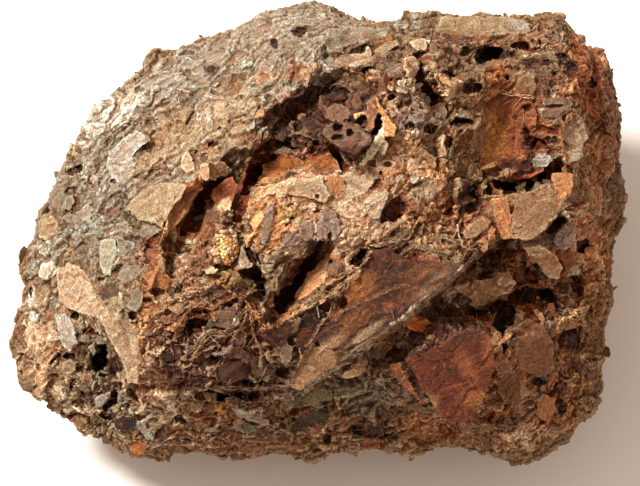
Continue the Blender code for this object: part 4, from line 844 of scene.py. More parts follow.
LEDGE_EDGE, LEDGE_WIDTH = 1.3, 8.0  # size of the breaks in ledges' edges, and of the ledges' patches
LEDGE_COUNT, LEDGE_STEP = 20, 0.34  # how finely the patches' heights are cut in steps, and a step's height
LEDGE_STRETCH = (0.45, 1.15, 1.0)  # ledges run along the fabric


def fabric(tree, rest):
    """Places in the stone's fabric: wavy, and turned so that its ledges rise to the right."""
    waves = node(tree, NOISE, {"Vector": rest, "Scale": WAVES, "Detail": 2.0}).outputs["Color"]
    centred = node(tree, VECTORS, [waves, GREY], operation="SUBTRACT")
    moved = node(tree, VECTORS, [centred, (WAVE_REACH,) * 3, rest], operation="MULTIPLY_ADD")
    turn = {"Vector": moved, "Angle": -math.radians(FABRIC_TURN)}
    turned = node(tree, "ShaderNodeVectorRotate", turn, rotation_type="Z_AXIS")
    return node(tree, VECTORS, [turned, STRETCH], operation="MULTIPLY").outputs[0]


def cells(tree, place, size):
    """Angular fragments about size millimetres across: their chance colour, their middle and the place."""
    here = node(tree, VECTORS, [place, (1 / size,) * 3], operation="MULTIPLY").outputs[0]
    found = node(tree, VORONOI, {"Vector": here, "Scale": 1.0})
    return found.outputs["Color"], found.outputs["Position"], here


def tilted_fragments(tree, place, size, slope, step, gap):
    """Height, in millimetres, of a mosaic of tilted flat fragments, with gaps between them."""
    colour, middle, here = cells(tree, place, size)
    tilt = node(tree, VECTORS, [colour, GREY], operation="SUBTRACT")
    away = node(tree, VECTORS, [here, middle], operation="SUBTRACT")
    lean = node(tree, VECTORS, [tilt, away], operation="DOT_PRODUCT").outputs["Value"]
    leaning = node(tree, MATH, [lean, 2 * slope * size], operation="MULTIPLY")
    up = node(tree, PARTS, [tilt])
    stepped = node(tree, MATH, [up, step, leaning], operation="MULTIPLY_ADD")
    edge = node(tree, VORONOI, {"Vector": here, "Scale": 1.0}, feature="DISTANCE_TO_EDGE")
    rim = node(tree, RANGE, [edge, 0.0, GAP_SHARE, -gap, 0.0])
    return node(tree, MATH, [stepped, rim], operation="ADD")


def vein_net(tree, place, rest):
    """1 along the thin walls between fragments, where they outlasted the fragments, and 0 beside them."""
    here = node(tree, VECTORS, [place, (1 / VEIN_CELL,) * 3], operation="MULTIPLY")
    edge = node(tree, VORONOI, {"Vector": here, "Scale": 1.0}, feature="DISTANCE_TO_EDGE")
    patches = node(tree, NOISE, {"Vector": rest, "Scale": 0.45, "Detail": 3.0})
    width = node(tree, RANGE, [patches, *VEIN_WIDTHS])
    share = node(tree, MATH, [edge, width], operation="DIVIDE")
    return node(tree, RANGE, [share, *VEIN_SIDE])


def small_holes(tree, place):
    """Depth, in millimetres, of small open holes in one fragment out of five."""
    here = node(tree, VECTORS, [place, (1 / HOLE_CELL,) * 3], operation="MULTIPLY")
    found = node(tree, VORONOI, {"Vector": here, "Scale": 1.0})
    chance = node(tree, PARTS, [found.outputs["Color"]])
    open_here = node(tree, MATH, [chance, SOUND_SHARE], operation="GREATER_THAN")
    depth = node(tree, RANGE, [found.outputs["Distance"], *HOLE_WALL, -HOLE_DEPTH, 0.0])
    return node(tree, MATH, [open_here, depth], operation="MULTIPLY")


def stepped_ledges(tree, place):
    """Height, in millimetres, of flat treads a few millimetres wide with angular, broken edges."""
    along = node(tree, VECTORS, [place, LEDGE_STRETCH], operation="MULTIPLY").outputs[0]
    middle = cells(tree, along, LEDGE_EDGE)[1]
    wide = node(tree, NOISE, {"Vector": middle, "Scale": LEDGE_EDGE / LEDGE_WIDTH, "Detail": 2.0})
    many = node(tree, MATH, [wide, LEDGE_COUNT], operation="MULTIPLY")
    level = node(tree, MATH, [many], operation="FLOOR")
    centred = node(tree, MATH, [level, LEDGE_COUNT / 2], operation="SUBTRACT")
    return node(tree, MATH, [centred, LEDGE_STEP], operation="MULTIPLY")


def geometry_tree(name):
    tree = bpy.data.node_groups.new(name, "GeometryNodeTree")
    tree.interface.new_socket("Geometry", in_out="INPUT", socket_type="NodeSocketGeometry")
    tree.interface.new_socket("Geometry", in_out="OUTPUT", socket_type="NodeSocketGeometry")
    return tree, node(tree, "NodeGroupInput")


def fragments_tree():
    """Keeps the way from every point to the middle of its fragment, small and mid-sized."""
    tree, surface = geometry_tree("Fragments of the fabric")
    place = fabric(tree, node(tree, READ, {"Name": "rest"}, data_type="FLOAT_VECTOR"))
    for name, size in (("to_fine", FINE), ("to_middle", MIDDLE)):
        _, middle, here = cells(tree, place, size)
        away = node(tree, VECTORS, [middle, here], operation="SUBTRACT")
        kept = {"Geometry": surface, "Name": name, "Value": away}
        surface = node(tree, KEEP, kept, data_type="FLOAT_VECTOR", domain="POINT")
    node(tree, "NodeGroupOutput", [surface])
    return tree


STAND = (("stand_edge", 2), ("stand_fine", 6), ("stand_broad", 60))  # over how many steps of mesh it is read


def relief_tree():
    """Breaks the surface into ledges and fragments, and keeps how far each point then stands out, in mm."""
    tree, surface = geometry_tree("Breccia relief")
    rest = node(tree, READ, {"Name": "rest"}, data_type="FLOAT_VECTOR")
    place = fabric(tree, rest)
    heights = [tilted_fragments(tree, place, *kind) for kind in FRAGMENTS] + [small_holes(tree, place)]
    broken = heights[0]
    for smaller in heights[1:]:
        broken = node(tree, MATH, [broken, smaller], operation="ADD")
    names = ("rough", "ledges", "veins")
    rough, ledges, veins = (node(tree, READ, {"Name": name}, data_type="FLOAT") for name in names)
    stepped = node(tree, MATH, [stepped_ledges(tree, place), ledges], operation="MULTIPLY")
    total = node(tree, MATH, [broken, rough, stepped], operation="MULTIPLY_ADD")
    raised = node(tree, MATH, [vein_net(tree, place, rest), veins], operation="MULTIPLY")
    total = node(tree, MATH, [raised, VEIN_HEIGHT, total], operation="MULTIPLY_ADD")
    height = node(tree, MATH, [total, MM], operation="MULTIPLY")
    normal = node(tree, "GeometryNodeInputNormal")
    offset = node(tree, VECTORS, {0: normal, "Scale": height}, operation="SCALE")
    surface = node(tree, "GeometryNodeSetPosition", {"Geometry": surface, "Offset": offset})
    here = node(tree, "GeometryNodeInputPosition")
    for name, steps in STAND:
        blur = {"Value": here, "Iterations": steps}
        smooth = node(tree, "GeometryNodeBlurAttribute", blur, data_type="FLOAT_VECTOR")
        above = node(tree, VECTORS, [here, smooth], operation="SUBTRACT")
        stand = node(tree, VECTORS, [above, normal], operation="DOT_PRODUCT").outputs["Value"]
        proud = node(tree, MATH, [stand, 1 / MM], operation="MULTIPLY")
        kept = {"Geometry": surface, "Name": name, "Value": proud}
        surface = node(tree, KEEP, kept, data_type="FLOAT", domain="POINT")
    node(tree, "NodeGroupOutput", [surface])
    return tree


def run_tree(obj, tree):
    obj.modifiers.new(tree.name, "NODES").node_group = tree
    return evaluated_mesh(obj)


# ---- stone's shape
SIDES = 12  # of a hollow's tube
TIP_REACH = 1.2  # how far a hollow's end tapers on, in half widths of it
FOOT_SHARE = 0.9  # of a flat fragment's outline at its foot
LUMP_POINTS = 40
DISH_WALL, PIT_WALL = 0.7, 0.22  # share of their radius that their walls take
WALL_SHARE = 0.35  # of a vein's height that the surface rises by. The vein's own wall stands on it
WALL_SIDE = (0.55, 1.6)  # from and to where it slopes down, in half widths of the vein


def tube(bm, ground, path):
    """A closed tube that follows a hollow under the surface, with tapered ends."""
    rings = []
    places = [np.array(p) for p in path]
    heights = [height_at(ground, p) for p in places]
    for i, (u, v, width, depth, tall) in enumerate(places):
        ahead = places[min(i + 1, len(places) - 1)][:2] - places[max(i - 1, 0)][:2]
        aside = np.array((ahead[1], -ahead[0])) / np.linalg.norm(ahead)
        ring = []
        for k in range(SIDES):
            turn = math.radians(360 / SIDES * k)
            spot = np.array((u, v)) + aside * width * math.cos(turn)
            ring.append(bm.verts.new(from_face((*spot, heights[i] - depth + tall * math.sin(turn)))))
        rings.append(ring)
    for low, high in zip(rings, rings[1:]):
        for k in range(SIDES):
            bm.faces.new((low[k], low[(k + 1) % SIDES], high[(k + 1) % SIDES], high[k]))
    for last, before in ((0, 1), (-1, -2)):
        place, ring = places[last], rings[last]
        onwards = place[:2] - places[before][:2]
        onwards = onwards / np.linalg.norm(onwards)
        end = place[:2] + onwards * place[2] * TIP_REACH
        tip = bm.verts.new(from_face((*end, heights[last] - place[3])))
        for k in range(SIDES):
            bm.faces.new((ring[k], ring[(k + 1) % SIDES], tip))


def cut_hollows(rock, ground):
    """Opens the hollows of the best face, with walls that run under its plates."""
    bm = bmesh.new()
    for _, path in HOLLOWS.values():
        tube(bm, ground, path)
    bmesh.ops.recalc_face_normals(bm, faces=bm.faces[:])
    cutter = new_object("hollows", mesh_of(bm, "hollows"))
    cut = rock.modifiers.new("Hollows", "BOOLEAN")
    cut.operation, cut.solver, cut.use_self = "DIFFERENCE", "EXACT", True
    cut.object = cutter
    evaluated_mesh(rock)
    drop(cutter)


def jagged(outline, chance, step=0.8, reach=0.2):
    """The outline with broken edges."""
    points = []
    for start, end in zip(np.array(outline), np.array(outline[1:] + outline[:1])):
        count = max(1, round(np.linalg.norm(end - start) / step))
        for k in range(count):
            jog = (chance.uniform(-reach, reach), chance.uniform(-reach, reach)) if k else (0.0, 0.0)
            points.append(start + (end - start) * k / count + np.array(jog))
    return points


def flat_pieces(ground):
    """Every flat fragment, with the plane that it is laid on. A wall's plane is the face's own."""
    laid = [(slab, plane_through(ground, slab[-1])) for slab in SLABS.values()]
    return laid + [(wall, np.zeros(3)) for wall in WALLS.values()]


def lay_slab(bm, plane, slab, chance):
    """A flat fragment that stands up from the surface, with edges that hang over a little."""
    lift, lean_across, lean_up, thickness, _, outline = slab
    middle = np.mean(outline, axis=0)
    top, bottom = [], []
    for place in jagged(outline, chance):
        for ring, share, down in ((top, 1.0, 0.0), (bottom, FOOT_SHARE, thickness)):
            across, up = middle + (place - middle) * share
            out = plane @ (1.0, across, up) + lift - down
            out += lean_across * (across - middle[0]) + lean_up * (up - middle[1])
            ring.append(bm.verts.new(from_face((across, up, out))))
    bm.faces.new(top)
    bm.faces.new(bottom[::-1])
    for k in range(len(top)):
        ahead = (k + 1) % len(top)
        bm.faces.new((top[k], bottom[k], bottom[ahead], top[ahead]))


def lay_lump(bm, ground, lump, chance):
    """A rounded, faceted lump: the hull of random points on a low dome."""
    (u, v), length, width, turn, rise, _ = lump
    c, s = math.cos(math.radians(turn)), math.sin(math.radians(turn))
    height = height_at(ground, (u, v))
    points = []
    for _ in range(LUMP_POINTS):
        way = Vector([chance.gauss(0, 1) for _ in range(3)]).normalized()
        x, y = way.x * length, way.y * width
        spot = (u + c * x - s * y, v + s * x + c * y, height + way.z * rise)
        points.append(bm.verts.new(from_face(spot)))
    bmesh.ops.convex_hull(bm, input=points)


def add_fragments(rock, ground):
    """Joins the flat fragments and lumps to the stone. The remesh that follows makes them one with it."""
    chance = random.Random(11)
    bm = bmesh.new()
    for slab, plane in flat_pieces(ground):
        lay_slab(bm, plane, slab, chance)
    for lump in LUMPS.values():
        lay_lump(bm, ground, lump, chance)
    bmesh.ops.delete(bm, geom=[v for v in bm.verts if not v.link_faces], context="VERTS")
    bmesh.ops.recalc_face_normals(bm, faces=bm.faces[:])
    bm.from_mesh(rock.data)
    bm.to_mesh(rock.data)
    bm.free()


def sunk_below(ground, mesh):
    """How far each vertex lies under the solid's own surface, in millimetres."""
    depth = []
    for vertex in mesh.vertices:
        near, normal, _, distance = ground.find_nearest(vertex.co)
        depth.append(distance / MM if (vertex.co - near).dot(normal) < 0 else -distance / MM)
    return np.array(depth)


def press_pits(points, facing):
    """Wide dishes, small pits and cracks go in, and vein walls stand up."""
    place = points[:, :2]
    for middle, length, width, turn, depth, _, _ in DISHES.values():
        points[:, 2] -= depth * ellipse(place, middle, length, width, turn, DISH_WALL) * facing
    change = np.zeros(len(points))
    for middle, length, width, turn, depth in chain(*PITS.values()):
        change = np.minimum(change, -depth * ellipse(place, middle, length, width, turn, PIT_WALL))
    for width, height, _, path in RIDGES.values():
        distance = along_path(place, path)[0]
        slope = 1.0 - smoothstep(*WALL_SIDE, distance / width)
        change += WALL_SHARE * height * slope * (change > -0.3)
    points[:, 2] += change * facing
    return change


# ---- stone's paint
def snapped(mesh, place, name, size):
    """Each place moved to the middle of its fragment, so that stains end along fragments' edges."""
    way = recall(mesh, name) * size / np.array(STRETCH)
    turn = math.radians(FABRIC_TURN)
    across = way[:, 0] * math.cos(turn) - way[:, 1] * math.sin(turn)
    up = way[:, 0] * math.sin(turn) + way[:, 1] * math.cos(turn)
    return place + np.stack([across, up], axis=1)


CEMENT, CEMENT_FLECKS = "#866a4a", "#6f5a40"
CEMENT_FORM = (0.55, 0.25, 0.4, 0.12)
FLECK_SHADE = 0.76  # how dark a stain's flecks are when they have no tint of their own


class Paint:
    """What is kept per vertex while the stone is painted, from the widest zones to the smallest fragments."""

    def __init__(self, count):
        self.tint = np.tile(linear(CEMENT), (count, 1))
        self.fleck = np.tile(linear(CEMENT_FLECKS), (count, 1))
        self.form = np.tile(CEMENT_FORM, (count, 1))

    def lay(self, share, tint, fleck=None, form=None):
        """Lays a stain, its flecks and what the ground is like, where share is above 0."""
        share = share[:, None]
        tint = np.array(linear(tint))
        self.tint += share * (tint - self.tint)
        self.fleck += share * ((np.array(linear(fleck)) if fleck else FLECK_SHADE * tint) - self.fleck)
        if form:
            self.form += share * (np.array(form) - self.form)


# What smaller things are like: how broken up, how stepped in ledges, how thick with chips, how veined.
DISH_FORM = (0.16, 0.1, 0.12, 0.1)
HOLLOW_FORM = (0.6, 0.0, 0.35, 0.0)
SLAB_FORM = (0.12, 0.14, 0.0, 0.0)
LUMP_FORM = (0.2, 0.0, 0.0, 0.0)
RIDGE_FORM = (0.4, 0.0, 0.1, 0.0)
SMOOTH_GROUND = 0.3  # below it, stains are soft and don't end at fragments
STAIN_SHARE, PATCH_SHARE, RIDGE_SHARE = 0.9, 0.85, 0.7  # how much of what they lie on they cover
PAST_OUTLINE = 1.03  # how far a flat fragment's stain reaches, in its own half widths


def paint_ground(paint, place, wide, close, facing):
    """Zones and dishes, and stains that follow fragments where the ground is broken up."""
    for middle, length, width, turn, tint, fleck, *form in ZONES.values():
        paint.lay(ellipse(wide, middle, length, width, turn, 0.1) * facing, tint, fleck, form)
    for middle, length, width, turn, _, tint, fleck in DISHES.values():
        share = ellipse(place, middle, 0.95 * length, 0.95 * width, turn, 0.3) * facing
        paint.lay(share, tint, fleck, DISH_FORM)
    smooth = paint.form[:, 0] < SMOOTH_GROUND
    for across, up, length, width, turn, tint in chain(*STAINS.values()):
        broken = ellipse(close, (across, up), length, width, turn, 0.1)
        soft = ellipse(place, (across, up), length, width, turn, 0.5)
        paint.lay(np.where(smooth, soft, broken) * STAIN_SHARE * facing, tint)


def paint_hollows(paint, place, sunk, change, facing):
    for tint, path in HOLLOWS.values():
        distance, values = along_path(place, path)
        share = (distance < values[:, 0] + 0.6) * smoothstep(0.3, 1.4, sunk) * facing
        paint.lay(share, tint, form=HOLLOW_FORM)
    # Pits and cracks pressed deeper than 0.4 mm are painted dark: their stain, and painted shade.
    paint.lay(smoothstep(0.4, 0.9, -change) * facing, COCOA)


def paint_slabs(paint, ground, points, facing):
    """Flat fragments, a little past their outlines, and the patches on the two wide ones."""
    place = points[:, :2]
    for (lift, across, up, thickness, tint, outline), plane in flat_pieces(ground):
        middle = np.mean(outline, axis=0)
        reach = 1.06 * np.max(np.linalg.norm(np.array(outline) - middle, axis=1))
        near = np.flatnonzero((np.linalg.norm(place - middle, axis=1) < reach) & (facing > 0))
        spot = place[near]
        top = plane[0] + spot @ plane[1:] + lift + (spot - middle) @ (across, up)
        grown = [tuple(middle + PAST_OUTLINE * (np.array(p) - middle)) for p in outline]
        share = np.zeros(len(points))
        share[near] = inside(spot, grown) & (points[near, 2] > top - thickness - 0.2)
        paint.lay(share, tint, form=SLAB_FORM)
    for across, up, length, width, turn, tint in chain(*PATCHES.values()):
        paint.lay(ellipse(place, (across, up), length, width, turn, 0.6) * PATCH_SHARE * facing, tint)


def paint_rock(mesh, ground, points, sunk, change, facing):
    """Stains and forms of the whole surface."""
    place = points[:, :2]
    wide, close = snapped(mesh, place, "to_middle", MIDDLE), snapped(mesh, place, "to_fine", FINE)
    paint = Paint(len(points))
    paint_ground(paint, place, wide, close, facing)
    paint_hollows(paint, place, sunk, change, facing)
    paint_slabs(paint, ground, points, facing)
    for middle, length, width, turn, _, tint in LUMPS.values():
        share = ellipse(place, middle, length, width, turn, 0.1) * (sunk < 0.3) * facing
        paint.lay(share, tint, form=LUMP_FORM)
    for width, _, tint, path in RIDGES.values():
        share = 1.0 - smoothstep(0.7, 1.3, along_path(close, path)[0] / width)
        share *= (change > 0.1) * facing
        paint.lay(share * RIDGE_SHARE, tint)
        paint.form += share[:, None] * (np.array(RIDGE_FORM) - paint.form)
    return paint


def keep_paint(mesh, paint):
    alpha = np.ones((len(paint.tint), 1))
    store(mesh, "tint", np.concatenate([paint.tint, alpha], axis=1), "FLOAT_COLOR")
    store(mesh, "fleck", np.concatenate([paint.fleck, alpha], axis=1), "FLOAT_COLOR")
    for name, values in zip(("rough", "ledges", "crumbs", "veins"), paint.form.T):
        store(mesh, name, values)
    store(mesh, "chips", paint.form[:, 2] ** 2)


# ---- stone's surface
def stand_on_floor(mesh):
    """Flattens what reaches below the surface that the block rests on."""
    points = read_points(mesh)
    points[:, 2] = np.maximum(points[:, 2], 0.0)
    write_points(mesh, points)


def merged_copy(solid, name):
    """A copy of a solid, whose triangles are loose, with its doubles merged."""
    bm = bmesh.new()
    bm.from_mesh(solid.data)
    bmesh.ops.remove_doubles(bm, verts=bm.verts, dist=1e-6)
    bmesh.ops.recalc_face_normals(bm, faces=bm.faces[:])
    return new_object(name, mesh_of(bm, name))


HALF_FACE = (62, 44)  # the best face's half length and half height
FADE_IN = (-4.0, 6.0)  # how far out of the face's middle its own look fades in
RIM_LOSS = 6.0  # how much further out that is beyond the face's rim, and further in at its middle
FACE_ENDS = -6.0  # how far out of the face's middle it ends
PLAIN_FOOT = (0.002, 0.006)  # metres above the floor between which the break that it rests on turns rough


def build_surface():
    """The block's whole surface, grown from its solid."""
    rock = merged_copy(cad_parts[ROCK], "rock")
    ground = BVHTree.FromObject(rock, bpy.context.evaluated_depsgraph_get())
    cut_hollows(rock, ground)
    add_fragments(rock, ground)
    grain = rock.modifiers.new("Even grain", "REMESH")
    grain.mode, grain.voxel_size = "VOXEL", GRAIN * MM
    soften = rock.modifiers.new("Soften steps", "SMOOTH")
    soften.factor, soften.iterations = 0.5, 2
    mesh = evaluated_mesh(rock)
    sunk = sunk_below(ground, mesh)
    points = to_face(read_points(mesh))
    past_rim = np.hypot(points[:, 0] / HALF_FACE[0], points[:, 1] / HALF_FACE[1]) - 1.0
    facing = smoothstep(*FADE_IN, points[:, 2] - RIM_LOSS * past_rim) * (points[:, 2] > FACE_ENDS)
    change = press_pits(points, facing)
    write_points(mesh, from_face(points))
    store(mesh, "rest", points, "FLOAT_VECTOR")
    mesh = run_tree(rock, fragments_tree())
    paint = paint_rock(mesh, ground, points, sunk, change, facing)
    paint.form *= smoothstep(*PLAIN_FOOT, read_points(mesh)[:, 2])[:, None]
    keep_paint(mesh, paint)
    mesh = run_tree(rock, relief_tree())
    faces = sum(len(p.vertices) - 2 for p in mesh.polygons)
    fewer = rock.modifiers.new("Fewer faces", "DECIMATE")
    fewer.ratio = min(1.0, SURFACE_TRIANGLES / faces)
    mesh = evaluated_mesh(rock)
    stand_on_floor(mesh)
    return rock


def part_tree(low, high, behind):
    """Keeps one part of the surface: its best face or its back, from low to high across."""
    tree, surface = geometry_tree("Part of the surface")
    rest = node(tree, READ, {"Name": "rest"}, data_type="FLOAT_VECTOR")
    place = node(tree, PARTS, [rest]).outputs
    left_of_it = node(tree, MATH, [place[0], low], operation="LESS_THAN")
    right_of_it = node(tree, MATH, [place[0], high], operation="GREATER_THAN")
    wrong_side = "GREATER_THAN" if behind else "LESS_THAN"
    wrong_depth = node(tree, MATH, [place[2], 0.0], operation=wrong_side)
    away = node(tree, MATH, [left_of_it, right_of_it], operation="MAXIMUM")
    away = node(tree, MATH, [away, wrong_depth], operation="MAXIMUM")
    whole = node(tree, "GeometryNodeCaptureAttribute", {"Geometry": surface}, domain="FACE")
    whole.capture_items.new("FLOAT", "away")
    tree.links.new(away.outputs[0], whole.inputs[1])
    cut = node(tree, MATH, [whole.outputs[1], 0.5], operation="GREATER_THAN")
    left = node(tree, "GeometryNodeDeleteGeometry", {"Geometry": whole, "Selection": cut}, domain="FACE")
    node(tree, "NodeGroupOutput", [left])
    return tree


PAST_ENDS = 99.0  # further across than the block's ends
SURFACE_PARTS = {
    "rock_face_left": (-PAST_ENDS, -18.0, False),
    "rock_face_middle": (-18.0, 18.0, False),
    "rock_face_right": (18.0, PAST_ENDS, False),
    "rock_back_left": (-PAST_ENDS, 0.0, True),
    "rock_back_right": (0.0, PAST_ENDS, True),
}


def split_surface(rock):
    """The surface as pieces of a size that loads well. They meet edge to edge."""
    finish = weathered_breccia()
    for name, (low, high, behind) in SURFACE_PARTS.items():
        piece = new_object(name, rock.data.copy())
        mesh = run_tree(piece, part_tree(low, high, behind))
        mesh.shade_flat()
        mesh.materials.clear()
        mesh.materials.append(finish)
        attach(piece, BODY)
        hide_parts(ROCK)


# ---- loose fragments
def chip_shapes(name, count, corners, flatness, seed):
    """A few angular chips, one unit across: the hulls of random points."""
    chance = random.Random(seed)
    shapes = bpy.data.collections.new(name)
    for i in range(count):
        bm = bmesh.new()
        for _ in range(corners):
            way = Vector([chance.gauss(0, 1) for _ in range(3)]).normalized()
            way *= chance.uniform(0.8, 1.0) * 0.5
            bm.verts.new((way.x, way.y * chance.uniform(0.7, 1.0), way.z * flatness))
        bmesh.ops.convex_hull(bm, input=bm.verts)
        bmesh.ops.delete(bm, geom=[v for v in bm.verts if not v.link_faces], context="VERTS")
        bmesh.ops.recalc_face_normals(bm, faces=bm.faces[:])
        shapes.objects.link(bpy.data.objects.new(f"{name}_{i}", mesh_of(bm, f"{name}_{i}")))
    return shapes


SMALLER_ODDS = 2.2  # how much likelier small chips are than large ones
TONE_SEED = 91


def scatter_tree(shapes, material):
    """Chips on a surface: thick where its mask is high, seated in it, and turned at random."""
    tree, entry = geometry_tree("Scattered chips")
    for name in ("Spacing", "Smallest", "Largest", "Tilt", "Sink", "Density"):
        tree.interface.new_socket(name, in_out="INPUT", socket_type="NodeSocketFloat")
    tree.interface.new_socket("Mask", in_out="INPUT", socket_type="NodeSocketString")
    tree.interface.new_socket("Seed", in_out="INPUT", socket_type="NodeSocketInt")
    given = entry.outputs
    mask = node(tree, READ, {"Name": given["Mask"]}, data_type="FLOAT")
    spread = node(
        tree, "GeometryNodeDistributePointsOnFaces",
        {"Mesh": given["Geometry"], "Distance Min": given["Spacing"], "Density Max": given["Density"],
         "Density Factor": mask, "Seed": given["Seed"]},
        distribute_method="POISSON",
    )
    picked = {2: 0.0, 3: 1.0, "Seed": given["Seed"]}
    chance = node(tree, RANDOM, picked, data_type="FLOAT").outputs[1]
    few = node(tree, MATH, [chance, SMALLER_ODDS], operation="POWER")
    size = node(tree, RANGE, {0: few, 3: given["Smallest"], 4: given["Largest"]})
    ways = {0: (-1, -1, -math.pi), 1: (1, 1, math.pi)}
    spin = node(tree, RANDOM, ways, data_type="FLOAT_VECTOR")
    lean = node(tree, "ShaderNodeCombineXYZ", [given["Tilt"], given["Tilt"], 1.0])
    turn = node(tree, VECTORS, [spin, lean], operation="MULTIPLY")
    turned = node(tree, "FunctionNodeEulerToRotation", [turn])
    seated = {0: spread.outputs["Rotation"], 1: turned}
    rotation = node(tree, "FunctionNodeRotateRotation", seated, rotation_space="LOCAL")
    down = node(tree, MATH, [size, given["Sink"]], operation="MULTIPLY")
    offset = node(tree, VECTORS, {0: spread.outputs["Normal"], "Scale": down}, operation="SCALE")
    points = node(tree, "GeometryNodeSetPosition", {"Geometry": spread, "Offset": offset})
    chips = node(tree, "GeometryNodeCollectionInfo", [shapes, True, True])
    placed = node(
        tree, "GeometryNodeInstanceOnPoints",
        {"Points": points, "Instance": chips, "Pick Instance": True, "Rotation": rotation, "Scale": size},
    )
    tone = node(tree, RANDOM, {2: 0.0, 3: 1.0, "Seed": TONE_SEED}, data_type="FLOAT").outputs[1]
    kept = {"Geometry": placed, "Name": "tone", "Value": tone}
    toned = node(tree, KEEP, kept, data_type="FLOAT", domain="INSTANCE")
    real = node(tree, "GeometryNodeRealizeInstances", [toned])
    finished = node(tree, "GeometryNodeSetMaterial", {"Geometry": real, "Material": material})
    node(tree, "NodeGroupOutput", [finished])
    return tree


def scatter(name, surface, shapes, material, **inputs):
    """A piece of chips scattered over the surface. Its sizes are in metres."""
    piece = new_object(name, surface.data.copy())
    grown = piece.modifiers.new("Chips", "NODES")
    grown.node_group = scatter_tree(shapes, material)
    for socket in grown.node_group.interface.items_tree:
        if socket.in_out == "INPUT" and socket.name in inputs:
            grown[socket.identifier] = inputs[socket.name]
    mesh = evaluated_mesh(piece)
    mesh.shade_flat()
    stand_on_floor(mesh)
    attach(piece, BODY)


# How many shapes, their corners, flatness and seed. Then the mask, spacing, chips to a square metre, smallest
# and largest size, tilt, how far they are sunk, and the seed.
CHIPS = {
    "coarse_fragments": (9, 10, 0.36, 3, "chips", 2.4, 90000.0, 1.6, 5.6, 0.45, -0.06, 5),
    "small_fragments": (7, 8, 0.5, 4, "crumbs", 0.9, 500000.0, 0.6, 2.2, 1.0, -0.06, 6),
    "vein_blades": (7, 8, 0.14, 8, "veins", 2.3, 120000.0, 1.4, 4.4, 1.0, -0.02, 7),
}


def build_chips(surface, material):
    for name, (count, corners, flatness, shapes_seed, *spread) in CHIPS.items():
        shapes = chip_shapes(name + "_shape", count, corners, flatness, shapes_seed)
        mask, spacing, density, smallest, largest, tilt, sink, seed = spread
        scatter(name, surface, shapes, material, Mask=mask, Spacing=spacing * MM, Density=density,
                Smallest=smallest * MM, Largest=largest * MM, Tilt=tilt, Sink=sink, Seed=seed)


# ---- vein walls and threads
SIDE_WALL, THREAD = 0.2, 0.12  # thickness of side walls and threads
VEIN_STEP, SIDE_STEP, THREAD_STEP = (0.45, 0.14), (0.4, 0.12), (0.5, 0.1)  # a step, and how far it strays
WALL_FOOT, TOP_HALF = -0.5, 0.28  # how deep a wall's foot lies, and its top's half width as a share


def walk(path, chance, step, reach):
    """Places along a path at even steps, with small jogs."""
    places = []
    for start, end in zip(np.array(path[:-1]), np.array(path[1:])):
        count = max(1, round(np.linalg.norm(end - start) / step))
        for k in range(count):
            places.append(start + (end - start) * k / count + stray(chance, reach))
    return places + [np.array(path[-1])]


def strip(bm, ground, places, thick, heights, lean, marks, mark):
    """A thin wall that stands on the surface and follows it. marks gets its stain and tone per vertex."""
    rings = []
    for i, place in enumerate(places):
        height = height_at(ground, place)
        if height is None:
            continue
        ahead = places[min(i + 1, len(places) - 1)] - places[max(i - 1, 0)]
        aside = np.array((ahead[1], -ahead[0])) / max(1e-6, np.linalg.norm(ahead))
        ring = []
        for out, half, shift in ((WALL_FOOT, 0.5, 0.0), (heights[i], TOP_HALF, lean * heights[i])):
            for side in (-half, half):
                spot = place + aside * (side * thick + shift)
                ring.append(bm.verts.new(from_face((*spot, height + out))))
                marks.append(mark)
        rings.append([ring[0], ring[1], ring[3], ring[2]])
    for low, high in zip(rings, rings[1:]):
        for k in range(4):
            bm.faces.new((low[k], low[(k + 1) % 4], high[(k + 1) % 4], high[k]))
    if len(rings) > 1:
        bm.faces.new(rings[0][::-1])
        bm.faces.new(rings[-1])


def stray(chance, reach):
    return np.array((chance.uniform(-reach, reach), chance.uniform(-reach, reach)))


def heading(turn):
    return np.array((math.cos(turn), math.sin(turn)))


def add_vein(bm, ground, marks, chance, vein):
    """A vein's wall, doubled, with short side walls that branch off it."""
    width, height, tint, path = vein
    colour = linear(tint)
    for copy in range(2):
        shift = stray(chance, 0.5) * copy
        places = [p + shift for p in walk(path, chance, *VEIN_STEP)]
        heights = [height * chance.uniform(0.15, 0.95) * (0.75 - 0.3 * copy) for _ in places]
        thick, lean = width * chance.uniform(0.6, 0.9), chance.uniform(-0.5, 0.5)
        strip(bm, ground, places, thick, heights, lean, marks, (*colour, chance.random()))
    for _ in range(1 + len(path) // 2):
        leg = chance.randrange(len(path) - 1)
        start, ahead = np.array(path[leg]), np.array(path[leg + 1])
        start = start + (ahead - start) * chance.random()
        turn = chance.uniform(0, 2 * math.pi)
        end = start + chance.uniform(1.0, 3.0) * heading(turn)
        places = walk([start, end], chance, *SIDE_STEP)
        heights = [height * chance.uniform(0.1, 0.5) for _ in places]
        lean = chance.uniform(-0.6, 0.6)
        strip(bm, ground, places, SIDE_WALL, heights, lean, marks, (*colour, chance.random()))


def add_thread(bm, ground, marks, chance, area, tint):
    """A loose thread that runs roughly along the ledges, unless it would lie on a flat fragment."""
    low, high, left, right = area
    start = np.array((chance.uniform(left, right), chance.uniform(low, high)))
    turn = math.radians(chance.gauss(FABRIC_TURN, 45))
    end = start + chance.uniform(2.0, 6.5) * heading(turn)
    bend = (start + end) / 2 + stray(chance, 1)
    if any(inside(np.array([start, bend, end]), slab[-1]).any() for slab in SLABS.values()):
        return
    places = walk([start, bend, end], chance, *THREAD_STEP)
    heights = [chance.uniform(0.15, 0.5) for _ in places]
    lean = chance.uniform(-0.5, 0.5)
    strip(bm, ground, places, THREAD, heights, lean, marks, (*linear(tint), chance.random()))


